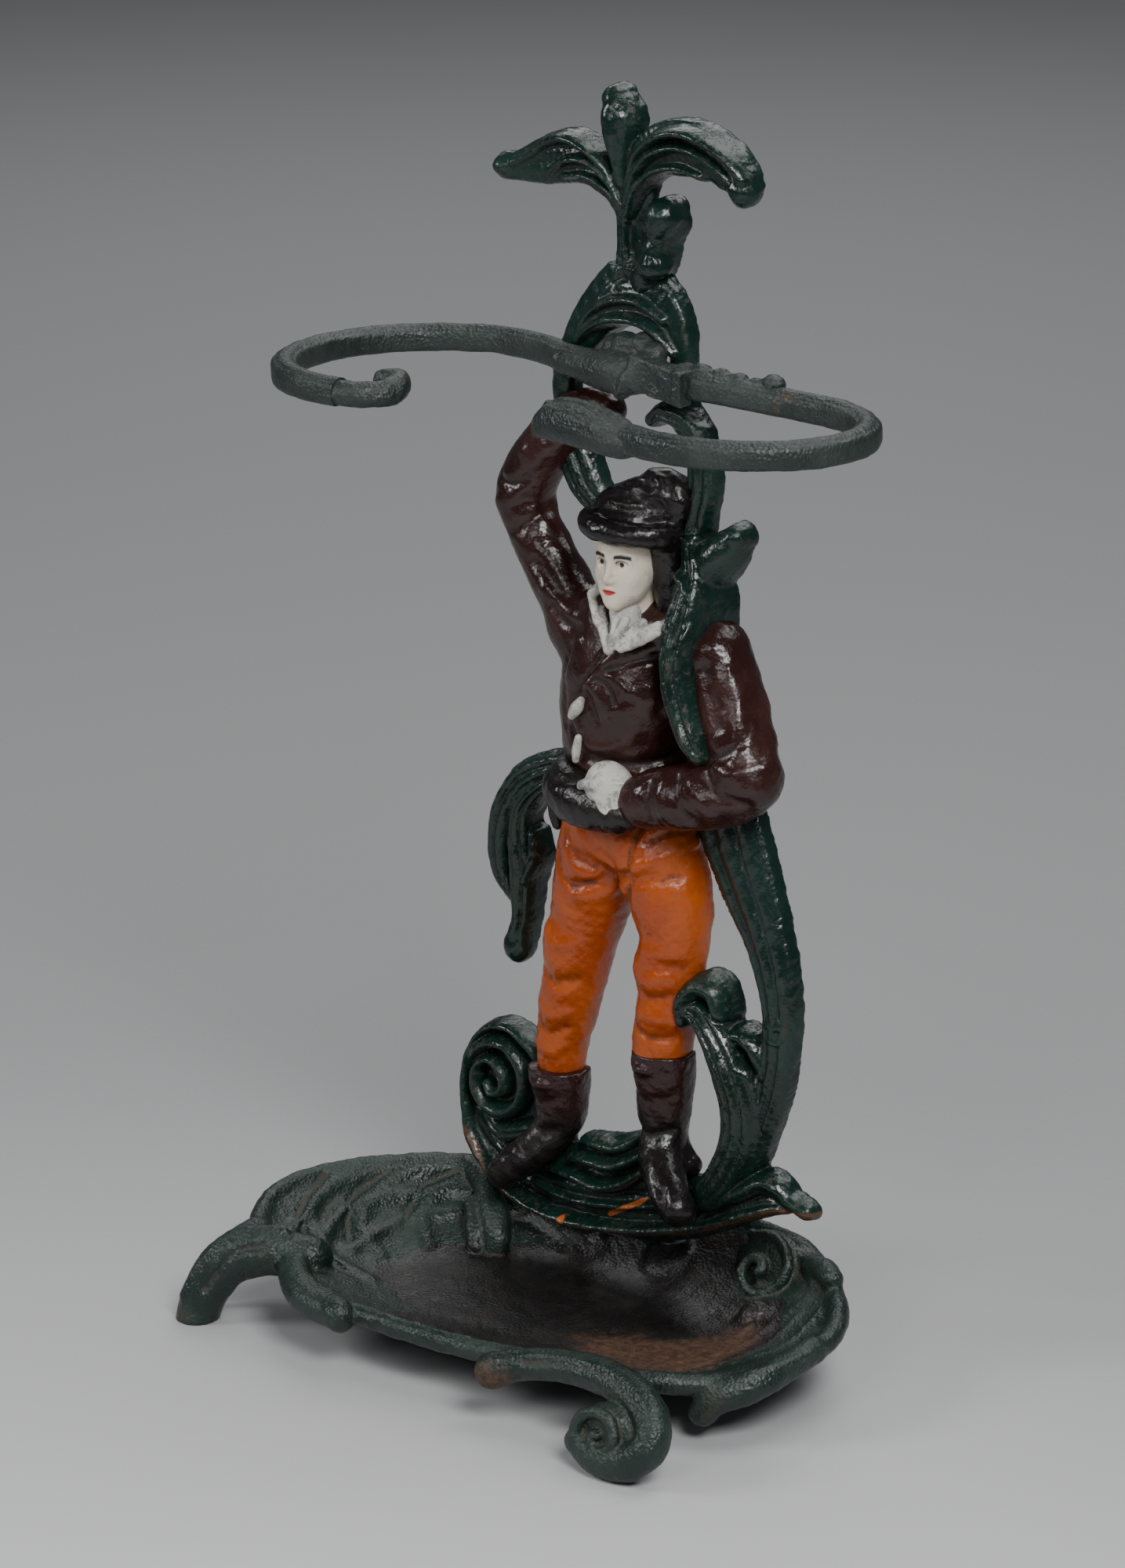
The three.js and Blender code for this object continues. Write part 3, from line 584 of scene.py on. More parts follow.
paint, base, rough, bumps = cast_iron_paint(
    "tray_green_paint", (0.006, 0.017, 0.013), (0.016, 0.031, 0.024), (0.055, 0.048, 0.036), 0.27, 0.52,
    0.40, 0.5, (0.13, 0.12, 0.10), 0.5)
uneven = paint.part(paint.maths("SUBTRACT", paint.noise(160, 4, 0.6), 0.5), 0.5)
black_share = paint.step(paint.maths("ADD", paint.mark("black"), uneven), 0.35, 0.65)
black = paint.mix(paint.step(paint.noise(45, 5, 0.65), 0.45, 0.75),
                  (0.006, 0.005, 0.005), (0.018, 0.015, 0.013))
base = paint.mix(black_share, base, black)
rust_share = paint.step(paint.both(paint.mark("rust"), 0.75, paint.noise(130, 6, 0.7), 0.75), 0.62, 0.98)
rust = paint.mix(paint.step(paint.noise(300, 4, 0.6), 0.35, 0.65),
                 (0.042, 0.020, 0.011), (0.105, 0.050, 0.024))
base = paint.mix(paint.part(rust_share, 0.85), base, rust)
rough = paint.maths("ADD", rough, paint.part(rust_share, 0.25))
tray_piece.data.materials.append(paint.finish(base, rough, bumps))

# ---------------------------------------------------------------------------------------------
# Back casting, scrollwork. Open leaf scrolls in half relief with a flat back, cast in one with the
# figure: a palm crest, an arch over the holder, side scrolls and a boat-shaped foot with a volute.
# Painted bottle green, glossy, over a slightly pitted skin.
# ---------------------------------------------------------------------------------------------

crest = Clay((-100, -36, 586), (108, 3, 706), 0.85)
# slender stem, a web beside it, and the round finial
crest.band([(2, 598, 7, 10), (1, 614, 4.5, 9), (1, 632, 5, 10), (4, 650, 6.5, 15)],
           ribs=2, groove=2.0, edge=0.45)
crest.band([(12, 604, 8, 5), (11, 622, 7, 5), (14, 642, 9, 6)], groove=0, edge=0.45)
crest.band([(5, 648, 6, 15), (4, 661, 6.5, 19), (3, 671, 10, 21), (3, 680, 12, 22), (1, 687, 10, 21),
            (-1, 691, 8.5, 18)])
crest.fold([(6, 660), (9, 672), (6, 684)], 3.0, -1.4)
# left palm leaf: a broad blade with three ridges and a blunt turned-up tip
crest.band([(3, 628, 4, 9), (-7, 643, 8, 11), (-22, 653, 11.5, 13), (-40, 655, 14, 13),
            (-56, 651, 12.5, 13), (-71, 647, 9, 12), (-83, 645, 7, 11)], groove=0, edge=0.7)
crest.band([(4, 634, 3, 13), (-4, 652, 3.5, 17), (-15, 662, 4, 20), (-32, 667, 4.5, 20),
            (-48, 663, 4.5, 18), (-60, 655, 4, 16), (-74, 649, 4, 15)])
crest.band([(5, 634, 3, 13), (-3, 647, 3, 17), (-16, 656, 3.5, 19), (-33, 655, 3.5, 19),
            (-46, 647, 3.5, 16)])
crest.band([(5, 631, 3, 13), (-6, 643, 3, 16), (-20, 648, 3, 17), (-36, 646, 3, 15)])
crest.ball((-83, -7, 646), (7, 9, 7), 4.0)
# right palm leaf: broader, with three ridges, drooping to a cut-off end
crest.band([(4, 628, 4, 9), (12, 650, 9, 12), (27, 666, 13.5, 14), (48, 670, 15.5, 14), (68, 667, 13, 14),
            (81, 660, 11, 14), (87, 653, 8, 13)], groove=0, edge=0.7)
crest.band([(8, 640, 3, 14), (18, 661, 4, 20), (31, 673, 4.5, 23), (48, 679, 4.5, 23), (66, 677, 4.5, 22),
            (82, 669, 4.5, 20), (91, 659, 4.5, 17)])
crest.band([(8, 636, 3, 14), (18, 654, 3.5, 19), (30, 665, 3.5, 21), (47, 671, 3.5, 21), (64, 669, 3.5, 20),
            (80, 660, 4, 18), (86, 651, 4, 15)])
crest.band([(8, 630, 3, 14), (18, 646, 3.5, 18), (31, 656, 3.5, 19), (47, 660, 3.5, 18),
            (62, 657, 3.5, 16)])
crest.ball((89, -8, 652), (8, 9, 9), 4.0)
# lumpy bud that leans from the arch
crest.band([(14, 590, 10, 13), (22, 598, 9.5, 18), (30, 609, 8, 21), (33, 619, 7.5, 22), (36, 629, 9.5, 22),
            (36, 635, 8.5, 19)], groove=0, edge=0.35)
crest.ball((37, -13, 633), (10, 11, 10), 3.0)
crest.ball((31, -13, 606), (9, 10, 8), 3.0)
crest.fold([(26, 624), (34, 620), (42, 622)], 2.6, -1.8)
crest.fold([(30, 642), (32, 632), (31, 622)], 2.2, -1.4)
crest.roughen(9, 0.45, 11)
crest.roughen(4, 0.22, 12)
crest_piece = crest.cast("palm_crest", "figure_back")

limbs = Clay((-104, -56, 186), (146, 3, 602), 1.0)
# arch over the holder's hub, thick, with ridges round its hooded inner edge
limbs.band([(6, 604, 8, 12), (-8, 590, 9, 12), (-23, 572, 9, 12), (-33, 556, 8, 12), (-40, 538, 8, 12),
            (-40, 520, 8, 12), (-37, 508, 7, 13)], groove=0, edge=0.6)
limbs.band([(12, 602, 9, 13), (26, 594, 9, 13), (38, 582, 9, 13), (44, 567, 7.5, 12), (44, 550, 7, 12),
            (43, 534, 7, 12), (48, 522, 8, 13)], groove=0, edge=0.6)
limbs.band([(-24, 556, 7, 12), (-9, 574, 11, 14), (10, 583, 12, 15), (28, 580, 11, 14), (40, 566, 7, 12)],
           groove=0, edge=0.8)
limbs.band([(-27, 556, 3, 14), (-15, 566, 4, 18), (1, 573, 4.5, 22), (20, 575, 4.5, 22), (34, 570, 4.5, 20),
            (43, 560, 4, 16)])
limbs.band([(-24, 567, 3, 13), (-12, 577, 4, 17), (4, 584, 4, 20), (22, 585, 4, 20), (37, 577, 4, 17)])
limbs.stroke([(-34, -12, 548), (-24, -13, 566), (-8, -14, 584), (4, -14, 600)], 2.2, 1.4)
# right limb, its small curl, and the fluted leaf behind the head
limbs.band([(43, 536, 7, 12), (50, 522, 8, 14), (59, 508, 9.5, 15), (61, 492, 10, 15), (58, 476, 10, 15),
            (55, 460, 9.5, 17), (51, 446, 9, 20), (50, 436, 8, 22)], ribs=3, groove=2.8, edge=0.45)
limbs.band([(58, 518, 6, 14), (47, 525, 7, 17), (35, 526, 6.5, 17), (26, 521, 5, 14)],
           ribs=2, groove=2.4, edge=0.45)
limbs.band([(-39, 518, 8, 12), (-36, 503, 11, 14), (-29, 489, 13, 16), (-22, 477, 12, 16),
            (-13, 467, 9, 13)], ribs=3, groove=2.8, edge=0.45)
# smooth bud at the shoulder, and the leaf that comes down over the coat
limbs.band([(50, 424, 8, 22), (59, 436, 11, 25), (70, 447, 13, 25), (80, 458, 11.5, 23), (87, 466, 8, 18)],
           groove=0.0, edge=0.35)
limbs.band([(58, 458, 6, 20), (66, 445, 8, 28), (69, 432, 10, 36), (68, 416, 11, 42), (69, 400, 11, 46),
            (72, 384, 10.5, 48), (77, 370, 9, 48), (83, 358, 8, 48), (87, 351, 6, 45)],
           ribs=3, groove=3.4, edge=0.75, fade=0.05)
limbs.band([(60, 443, 5, 30), (67, 440, 6, 32), (73, 434, 6, 34), (76, 424, 5.5, 34), (74, 412, 4, 36)],
           edge=0.4)
limbs.band([(76, 430, 5, 30), (76, 414, 5, 42), (75, 398, 4.5, 46), (77, 384, 3.5, 46)], edge=0.4)
# acanthus on the left
limbs.band([(-30, 318, 7, 14), (-50, 312, 8, 17), (-69, 301, 9, 18), (-83, 281, 9, 18), (-88, 260, 8.5, 17),
            (-87, 242, 7, 15), (-79, 229, 5, 12)], ribs=2, groove=3.4, edge=0.45)
limbs.band([(-40, 308, 6, 13), (-56, 298, 6, 17), (-68, 284, 7, 18), (-71, 266, 9, 18),
            (-69, 250, 10.5, 18), (-69, 234, 9, 18), (-70, 218, 7.5, 17), (-75, 203, 8, 16)],
           ribs=3, groove=3.0, edge=0.45)
limbs.band([(-60, 270, 4, 16), (-58, 256, 5, 18), (-64, 242, 4, 18)], edge=0.35)
limbs.ball((-75, -8, 199), (9, 9, 9), 4.0)
# long stem on the right, broad where it leaves the coat
limbs.band([(70, 330, 22, 13), (80, 308, 24, 15), (89, 288, 22.5, 16), (99, 267, 20, 16),
            (109, 246, 16, 16), (116, 226, 13.5, 16), (120, 205, 11.5, 16), (119.5, 184, 10.5, 16)],
           ribs=3, groove=2.4, edge=0.45)
limbs.roughen(9, 0.45, 13)
limbs.roughen(4, 0.22, 14)
limbs.cut_away((-110, -60, 170), (150, 10, 190), lambda x, y, z: z - 188, 0.5)
limbs_piece = limbs.cast("side_scrolls", "figure_back")

foot_scrolls = Clay((-130, -48, 38), (166, 3, 228), 0.9)
foot_scrolls.band([(120, 198, 11, 16), (119, 178, 10.5, 16), (115, 158, 10.5, 16), (107, 136, 10.5, 16),
                   (97, 114, 11, 17), (86, 94, 10, 18)], ribs=3, groove=2.4, edge=0.45, fade=0.02)
# leaf in front of the stem: curled top, two lobes and four strands
foot_scrolls.band([(62, 196, 7, 24), (72, 194, 9, 26), (82, 184, 11, 27), (92, 166, 12.5, 27),
                   (98, 146, 12.5, 26), (97, 126, 12, 26), (88, 106, 11, 26), (76, 90, 10, 26)],
                  ribs=4, groove=3.0, edge=0.45)
foot_scrolls.band([(60, 189, 5, 25), (61, 202, 7, 27), (69, 211, 7.5, 25), (79, 209, 7.5, 23),
                   (84, 198, 6, 22)])
foot_scrolls.band([(84, 168, 5, 22), (87, 180, 6, 21), (96, 188, 6, 19), (106, 182, 6, 18),
                   (113, 168, 5, 15)])
foot_scrolls.band([(92, 158, 4, 24), (98, 170, 4, 23), (105, 166, 4, 19), (109, 154, 4, 17),
                   (109, 138, 4, 17), (102, 116, 4, 18)])
# volute on the left: a shallow disc, a thick ring curling inward, and a beaded outer edge
foot_scrolls.band([(-56, 92, 20, 8), (-76, 106, 28, 8), (-85, 115, 29, 8)], groove=0.0, edge=0.85)
foot_scrolls.band([(-112, 118, 4, 13), (-105, 130, 5.5, 17), (-91, 139, 5.5, 18), (-76, 137, 5.5, 18),
                   (-67, 124, 5.5, 18), (-69, 109, 5.5, 18), (-80, 99, 5.5, 18), (-94, 98, 5.5, 18),
                   (-104, 108, 5.5, 18), (-103, 121, 5, 18), (-93, 128, 4.5, 18), (-83, 122, 4.5, 18),
                   (-83, 112, 4.5, 18), (-91, 108, 4, 18), (-96, 113, 3.5, 17)],
                  groove=0.0, edge=0.2, fade=0.01)
foot_scrolls.band([(-52, 128, 4, 13), (-64, 143, 4.5, 16), (-82, 150, 4, 16), (-99, 144, 4, 16),
                   (-111, 127, 4, 16), (-114, 106, 4, 17), (-109, 84, 4, 18), (-99, 68, 4, 19)])
foot_scrolls.band([(-100, 92, 5, 12), (-84, 86, 7, 17), (-64, 92, 6, 20), (-50, 98, 5, 20)],
                  ribs=2, groove=2.0, edge=0.45)
# boat-shaped foot: swept strands above a beaded lower edge, ending in a tail
foot_scrolls.band([(-106, 86, 10, 11), (-92, 72, 14, 12), (-62, 63, 17, 13), (-24, 62, 18, 14),
                   (18, 66, 19, 14), (58, 76, 18, 14), (94, 90, 13, 14), (113, 98, 9, 13),
                   (126, 98, 6, 12)], ribs=4, groove=2.6, edge=0.7)
foot_scrolls.band([(-112, 96, 4, 17), (-108, 78, 4.5, 19), (-88, 60, 5, 21), (-64, 50, 5, 22),
                   (-36, 47, 5, 22), (-4, 50, 5, 22), (33, 58, 5, 22), (68, 69, 5, 21), (96, 82, 5, 19),
                   (116, 91, 5, 17), (126, 94, 4.5, 15)], fade=0.01)
foot_scrolls.band([(-60, 62, 3, 15), (-30, 60, 4, 18), (10, 66, 4, 19), (50, 78, 4, 19), (84, 92, 4, 17)])
foot_scrolls.band([(70, 74, 5, 18), (88, 90, 6, 20), (102, 99, 6.5, 20), (113, 106, 6.5, 18),
                   (122, 105, 6, 16), (129, 99, 5.5, 14), (141, 95, 5.5, 13)])
# rippled leaf between the boots
foot_scrolls.band([(-34, 76, 13, 10), (-10, 86, 13, 10), (14, 94, 14, 10), (26, 98, 12, 10)],
                  groove=0.0, edge=0.8)
foot_scrolls.band([(-22, 96, 4, 14), (-10, 97, 5, 17), (6, 99, 5, 17), (18, 107, 4, 14), (22, 112, 3, 12)])
foot_scrolls.band([(-30, 84, 4, 16), (-16, 87, 5, 20), (2, 88, 5, 21), (16, 94, 5, 19), (28, 102, 4, 17)])
foot_scrolls.band([(-42, 74, 4, 17), (-26, 75, 5, 20), (-6, 74, 5, 22), (12, 80, 5, 21), (26, 90, 4, 19)])
foot_scrolls.roughen(9, 0.45, 15)
foot_scrolls.roughen(4, 0.22, 16)
# the two lugs that stand on the tray's pads
for x in LUGS_X:
    foot_scrolls.rod([(x, -4, 54, 9), (x, 0, 50, 9)], 3.0)
foot_scrolls.cut_away((-140, 0, 30), (170, 10, 230), lambda x, y, z: -y, 0.5)


def streaks_on_foot(place):
    """Brown worn paint along the lower edge, and orange dabs between the boots."""
    x, y, z = place.T
    keel = np.interp(x, (-112, -88, -64, -36, -4, 33, 68, 96, 118, 132),
                     (86, 58, 47, 44, 47, 55, 66, 79, 90, 94))
    edge = np.exp(-(((z - keel) / 3.5) ** 2))
    dab = ease(18 - np.abs(x - 14), 0, 5) * np.exp(-(((z - 66 - (x - 14) * 0.58) / 2.4) ** 2))
    spot = np.exp(-(((x + 31) / 4) ** 2 + ((z - 48) / 3) ** 2))
    return {"edge": edge, "dab": np.maximum(dab, spot)}


foot_piece = foot_scrolls.cast("foot_scrolls", "figure_back", streaks_on_foot)

paint, base, rough, bumps = cast_iron_paint(
    "bottle_green_enamel", (0.0035, 0.015, 0.011), (0.006, 0.025, 0.018), (0.008, 0.011, 0.009), 0.16, 0.34,
    0.12, 0.2, (0.10, 0.055, 0.028), 0.25)
edge_share = paint.step(paint.both(paint.mark("edge"), 0.7, paint.noise(170, 5, 0.7), 0.8), 0.82, 1.05)
base = paint.mix(paint.part(edge_share, 0.8), base, (0.10, 0.042, 0.018))
dabs = paint.maths("ADD", paint.mark("dab"), paint.part(paint.noise(250, 4, 0.7), 0.5))
dab_share = paint.step(dabs, 0.75, 0.95)
base = paint.mix(dab_share, base, (0.42, 0.10, 0.02))
green = paint.finish(base, rough, bumps)
for piece in (crest_piece, limbs_piece, foot_piece):
    piece.data.materials.append(green)

# ---------------------------------------------------------------------------------------------
# Back casting, the figure's clothes. A young worker in half relief, hollow behind, in oil paint:
# a maroon jacket and black sash, orange breeches, and boots that fade from maroon to black.
# ---------------------------------------------------------------------------------------------

SHELL_WALL = 7
# hollows behind the figure: two ends in x, z, then the radius and depth of the shape they sit in
HOLLOWS = [
    ((10, 384), (10, 300), 40, 40), ((-8, 276), (-20, 222), 19, 31), ((45, 272), (45, 232), 19, 31),
    ((-20, 222), (-38, 140), 14, 26), ((45, 232), (39, 124), 15, 27), ((-26, 402), (-50, 430), 14, 25),
    ((-50, 430), (-71, 466), 13, 25), ((84, 394), (108, 350), 17, 31),
]


def hollow_out(clay):
    """Opens the back of the relief, as a core in the mould would, and trims it flat."""
    for (x0, z0), (x1, z1), radius, depth in HOLLOWS:
        inner = radius - SHELL_WALL
        clay.rod([(x0, 0, z0, inner), (x1, 0, z1, inner)], 1.5, flat=(depth - SHELL_WALL) / inner, cut=True)
    low = clay.low
    clay.cut_away((low[0], 0, low[2]), low + clay.grain * np.array(clay.field.shape),
                  lambda x, y, z: -y, 0.6)


jacket = Clay((-96, -70, 284), (146, 3, 538), 0.85)
jacket.rod([(12, -10, 394, 38), (11, -10, 372, 42), (11, -10, 345, 42), (13, -10, 322, 38),
            (15, -10, 308, 37)], 3.0, flat=0.76)
jacket.ball((20, -22, 372), (32, 23, 34), 8.0)
jacket.rod([(58, -6, 400, 20), (66, -7, 370, 18), (74, -8, 345, 18)], 4.0)
jacket.rod([(-24, -12, 398, 18), (0, -16, 406, 14), (56, -14, 408, 15), (77, -15, 400, 19)], 6.0)
jacket.rod([(-18, -12, 394, 19), (-31, -13, 412, 17), (-46, -13, 432, 16), (-58, -13, 449, 15.5),
            (-64.5, -13, 467, 16.5), (-55, -13, 486, 16), (-44, -13, 500, 15), (-33, -13, 511, 14),
            (-20, -12, 519, 13), (-6, -11, 522, 11)], 4.0, count=40)
jacket.rod([(77, -15, 400, 20), (88, -16, 376, 21), (99, -19, 356, 20), (108, -23, 341, 18.5)], 4.0)
jacket.rod([(109, -24, 339, 18.5), (96, -28, 331, 19), (80, -33, 326, 18.5), (62, -37, 322, 17.5),
            (50, -40, 319, 15), (44, -41, 318, 12)], 4.0)
jacket.cut_away((-60, -60, 280), (130, 5, 292), lambda x, y, z: z - 300 + 0.03 * x, 1.5)

# folds: rows of x, z along each crease, its width and its height
JACKET_FOLDS = [
    # edge of the right front where it laps over the left
    ([(26, 399), (20, 389), (7, 373), (0, 360), (4, 350)], 2.2, 2.6),
    ([(22, 400), (15, 388), (2, 372), (-5, 358)], 2.2, -2.4),
    ([(0, 356), (4, 346), (14, 342), (26, 344)], 2.4, 2.2),
    ([(-4, 350), (2, 338), (16, 335), (40, 336), (54, 342)], 3.0, -2.8),
    # turned-down lapels below the collar
    ([(21, 391), (32, 398), (44, 401)], 2.4, 2.2), ([(22, 386), (34, 392), (46, 396)], 2.2, -1.8),
    # creases that run from the lap towards the chest
    ([(21, 386), (32, 382), (38, 377)], 2.4, 1.8), ([(17, 382), (26, 378), (30, 370)], 2.2, -2.0),
    ([(12, 378), (21, 372), (26, 364)], 2.4, 1.9), ([(8, 374), (14, 367), (18, 358)], 2.2, -1.7),
    ([(52, 402), (52, 384), (50, 366)], 4.0, -1.6), ([(36, 366), (38, 354), (30, 346)], 4.4, 1.6),
    ([(-2, 330), (18, 328), (38, 330)], 3.2, 1.8), ([(-30, 372), (-28, 350), (-30, 330)], 5.0, 1.2),
    ([(-10, 392), (-14, 372), (-12, 350)], 3.4, -1.4), ([(-2, 398), (-8, 386), (-12, 376)], 3.0, 1.5),
    # creases at the armpit, elbow and wrist of the raised arm
    ([(-28, 412), (-18, 404), (-4, 404)], 3.0, -2.2), ([(-36, 420), (-24, 412), (-12, 410)], 3.4, 2.0),
    ([(-44, 434), (-34, 428), (-26, 420)], 3.4, -1.6), ([(-62, 448), (-54, 452), (-46, 460)], 3.4, -1.6),
    ([(-72, 462), (-62, 466), (-54, 472)], 3.4, 1.6), ([(-68, 476), (-58, 476), (-50, 480)], 3.2, -1.6),
    ([(-52, 494), (-46, 488), (-40, 494)], 3.0, 1.6), ([(-40, 508), (-34, 502), (-28, 506)], 3.0, -1.6),
    # creases of the lowered arm
    ([(86, 398), (92, 384), (98, 370)], 3.8, -2.2), ([(97, 398), (105, 380), (110, 362)], 4.4, 1.8),
    ([(112, 362), (104, 354), (96, 352)], 3.0, -2.0), ([(124, 350), (112, 346), (100, 348)], 3.2, 1.6),
    ([(118, 330), (106, 334), (96, 342)], 3.2, -2.0), ([(100, 322), (94, 330), (88, 338)], 3.2, 2.0),
    ([(88, 318), (82, 328), (78, 338)], 3.0, -2.2), ([(76, 314), (72, 324), (70, 336)], 3.0, 2.0),
    ([(64, 312), (62, 322), (62, 332)], 2.8, -1.8), ([(118, 322), (100, 314), (80, 312)], 3.4, 1.6),
]
for rows, width, height in JACKET_FOLDS:
    jacket.fold(rows, width, height)
hollow_out(jacket)
jacket.roughen(16, 0.6, 21)
jacket.roughen(5, 0.2, 22)


def jacket_paint(place):
    return {"dark": ease(place[:, 2], 505, 530)}


jacket_piece = jacket.cast("jacket", "figure_back", jacket_paint)
# the third colour, laid into creases and hollows, is dirt with a dark painted shade
paint, base, rough, bumps = cast_iron_paint(
    "maroon_oil_paint", (0.022, 0.006, 0.005), (0.038, 0.012, 0.009), (0.008, 0.004, 0.004), 0.17, 0.36,
    0.12, 0.3, (0.07, 0.045, 0.03), 0.15)
jacket_piece.data.materials.append(paint.finish(base, rough, bumps))

sash = Clay((-58, -64, 270), (66, 3, 334), 0.8)
sash.rod([(-25, -8, 318, 9), (-20, -24, 316, 12), (-8, -38, 313, 15), (14, -44, 310, 14),
          (36, -45, 309, 11)], 3.0)
sash.fold([(-30, 322), (-6, 322), (16, 324)], 3.0, -1.2)
sash.fold([(-26, 306), (-2, 300), (20, 301)], 3.0, 1.2)
# loose end that hangs at the hip
sash.rod([(-43, -8, 300, 5), (-45, -9, 288, 5), (-44, -9, 279, 3.5)], 3.0)
hollow_out(sash)
sash.roughen(8, 0.4, 23)
sash_piece = sash.cast("black_sash", "figure_back")

breeches = Clay((-74, -50, 118), (84, 3, 312), 0.8)
breeches.ball((15, -10, 292), (45, 28, 26), 3.0)
breeches.rod([(-5, -12, 284, 25), (-11, -12, 257, 24.5), (-20, -12, 224, 20.5), (-28, -12, 194, 18.5),
              (-34, -11, 172, 17), (-39, -10, 152, 15), (-40, -10, 132, 13)], 4.0, count=30)
breeches.rod([(33, -12, 285, 27), (44, -12, 258, 24), (47, -12, 235, 20), (45, -12, 212, 18),
              (41, -12, 186, 17.5), (38, -12, 166, 17)], 4.0, count=30)
breeches.ball((-24, -22, 214), (15, 12, 17), 6.0)
breeches.ball((43, -22, 216), (14, 12, 16), 6.0)
BREECHES_FOLDS = [
    # the fly and the creases that meet at the crotch
    ([(40, 300), (37, 286), (34, 270), (30, 252)], 2.6, -2.6),
    ([(-8, 257), (6, 261), (22, 268), (34, 272)], 3.0, -3.0),
    ([(-4, 250), (10, 254), (24, 260)], 4.0, 1.8), ([(36, 268), (48, 272), (60, 274)], 3.8, -1.9),
    ([(38, 277), (50, 283), (62, 291)], 3.0, 2.4), ([(46, 292), (54, 298), (64, 300)], 2.6, -1.8),
    ([(-4, 294), (2, 285), (10, 277), (18, 274)], 2.8, 2.2), ([(-12, 288), (-6, 278), (6, 270)], 3.4, -1.4),
    ([(-12, 278), (-6, 268), (4, 264)], 2.8, 1.8), ([(-22, 272), (-16, 262), (-8, 256)], 3.0, -1.4),
    # knees
    ([(-34, 226), (-24, 218), (-10, 222)], 4.0, 1.4), ([(-36, 200), (-27, 194), (-14, 198)], 3.6, -1.6),
    ([(42, 217), (52, 221), (62, 221)], 4.4, -1.6), ([(42, 229), (50, 230), (58, 228)], 4.0, 1.6),
    # calves
    ([(-42, 178), (-32, 172), (-22, 176)], 3.4, 1.4), ([(-44, 166), (-34, 161), (-24, 166)], 3.0, -1.8),
    ([(-48, 152), (-36, 149), (-28, 154)], 3.0, 1.4), ([(36, 206), (44, 202), (56, 204)], 3.6, -1.4),
    ([(38, 190), (48, 190), (56, 188)], 5.0, 2.2), ([(32, 182), (42, 178), (54, 178)], 3.0, -2.0),
]
for rows, width, height in BREECHES_FOLDS:
    breeches.fold(rows, width, height)
# torn-looking lower edges, where the paint stops at the boot tops
breeches.cut_away((10, -50, 110), (80, 5, 165),
                  lambda x, y, z: z - 160 + 3 * np.sin(x * 0.4), 0.8)
breeches.cut_away((-80, -50, 110), (-4, 5, 140),
                  lambda x, y, z: soft_max(z - 131 + 3 * np.sin(x * 0.4), x, 1.0), 0.8)
hollow_out(breeches)
breeches.roughen(14, 0.5, 24)
breeches.roughen(5, 0.22, 25)
breeches_piece = breeches.cast("orange_breeches", "figure_back")
# the third colour, laid into creases and hollows, is dirt with a dark painted shade
paint, base, rough, bumps = cast_iron_paint(
    "orange_oil_paint", (0.33, 0.050, 0.003), (0.41, 0.074, 0.004), (0.04, 0.013, 0.004), 0.20, 0.38,
    0.12, 0.3, (0.12, 0.05, 0.02), 0.6)
grime_share = paint.step(paint.both(paint.noise(75, 6, 0.7), 0.8, paint.noise(500, 3, 0.6), 0.35),
                         0.62, 0.80)
base = paint.mix(paint.part(grime_share, 0.55), base, (0.10, 0.045, 0.010))
breeches_piece.data.materials.append(paint.finish(base, rough, bumps))

boots = Clay((-96, -66, 54), (86, 3, 174), 0.8)
boots.rod([(-41, -11, 142, 18.5), (-39, -12, 126, 17), (-37, -12, 112, 14), (-39, -12, 104, 12)], 3.0)
boots.rod([(-40, -13, 104, 12), (-44, -18, 94, 11.5), (-52, -23, 85, 11), (-60, -27, 77, 10.5),
           (-67, -30, 70, 9.5)], 5.0)
boots.rod([(39, -12, 170, 18), (40, -12, 152, 17.5), (40, -12, 130, 15), (41, -13, 114, 12.5)], 3.0)
boots.rod([(41, -14, 112, 12.5), (46, -20, 104, 12.5), (55, -28, 97, 12), (65, -34, 91, 11.5),
           (72, -37, 87, 10.5)], 5.0)
boots.rod([(46, -10, 106, 10), (54, -8, 100, 8)], 3.0)
boots.rod([(-58, -12, 131, 3), (-40, -29, 130, 3), (-24, -13, 134, 3)], 2.0, count=16)
boots.rod([(22, -14, 164, 3), (38, -30, 158, 3), (56, -14, 162, 3)], 2.0, count=16)
for rows, width, height in (
    ([(-50, 122), (-40, 119), (-30, 123)], 3.4, -1.2), ([(-46, 104), (-38, 100), (-30, 104)], 3.0, -1.4),
    ([(-56, 92), (-48, 88), (-42, 94)], 2.8, -1.6), ([(-52, 100), (-46, 104), (-38, 108)], 3.0, 1.4),
    ([(28, 144), (40, 140), (54, 145)], 3.8, -1.2), ([(28, 122), (40, 119), (52, 123)], 3.2, -1.4),
    ([(36, 106), (46, 110), (54, 106)], 3.0, 1.6), ([(50, 106), (58, 96), (66, 92)], 3.0, 1.6),
    ([(46, 98), (56, 88), (64, 84)], 2.6, -1.6), ([(66, 98), (70, 90), (68, 82)], 2.4, -1.4),
):
    boots.fold(rows, width, height)
boots.cut_away((-96, -66, 120), (86, 5, 176),
               lambda x, y, z: np.where(x < 0, 137, 166) - z, 0.8)
hollow_out(boots)
boots.roughen(10, 0.5, 26)
boots.roughen(4, 0.2, 27)


def boot_fade(place):
    x, y, z = place.T
    return {"top": np.where(x < 0, ease(z, 104, 122), ease(z, 122, 146))}


boots_piece = boots.cast("boots", "figure_back", boot_fade)
paint, base, rough, bumps = cast_iron_paint(
    "boot_oil_paint", (0.006, 0.004, 0.0045), (0.012, 0.008, 0.007), (0.010, 0.008, 0.007), 0.18, 0.4,
    0.15, 0.3, (0.06, 0.04, 0.03), 0.2)
base = paint.mix(paint.mark("top"), base, (0.022, 0.006, 0.005))
black_boots = paint.finish(base, rough, bumps)
boots_piece.data.materials.append(black_boots)
sash_piece.data.materials.append(black_boots)

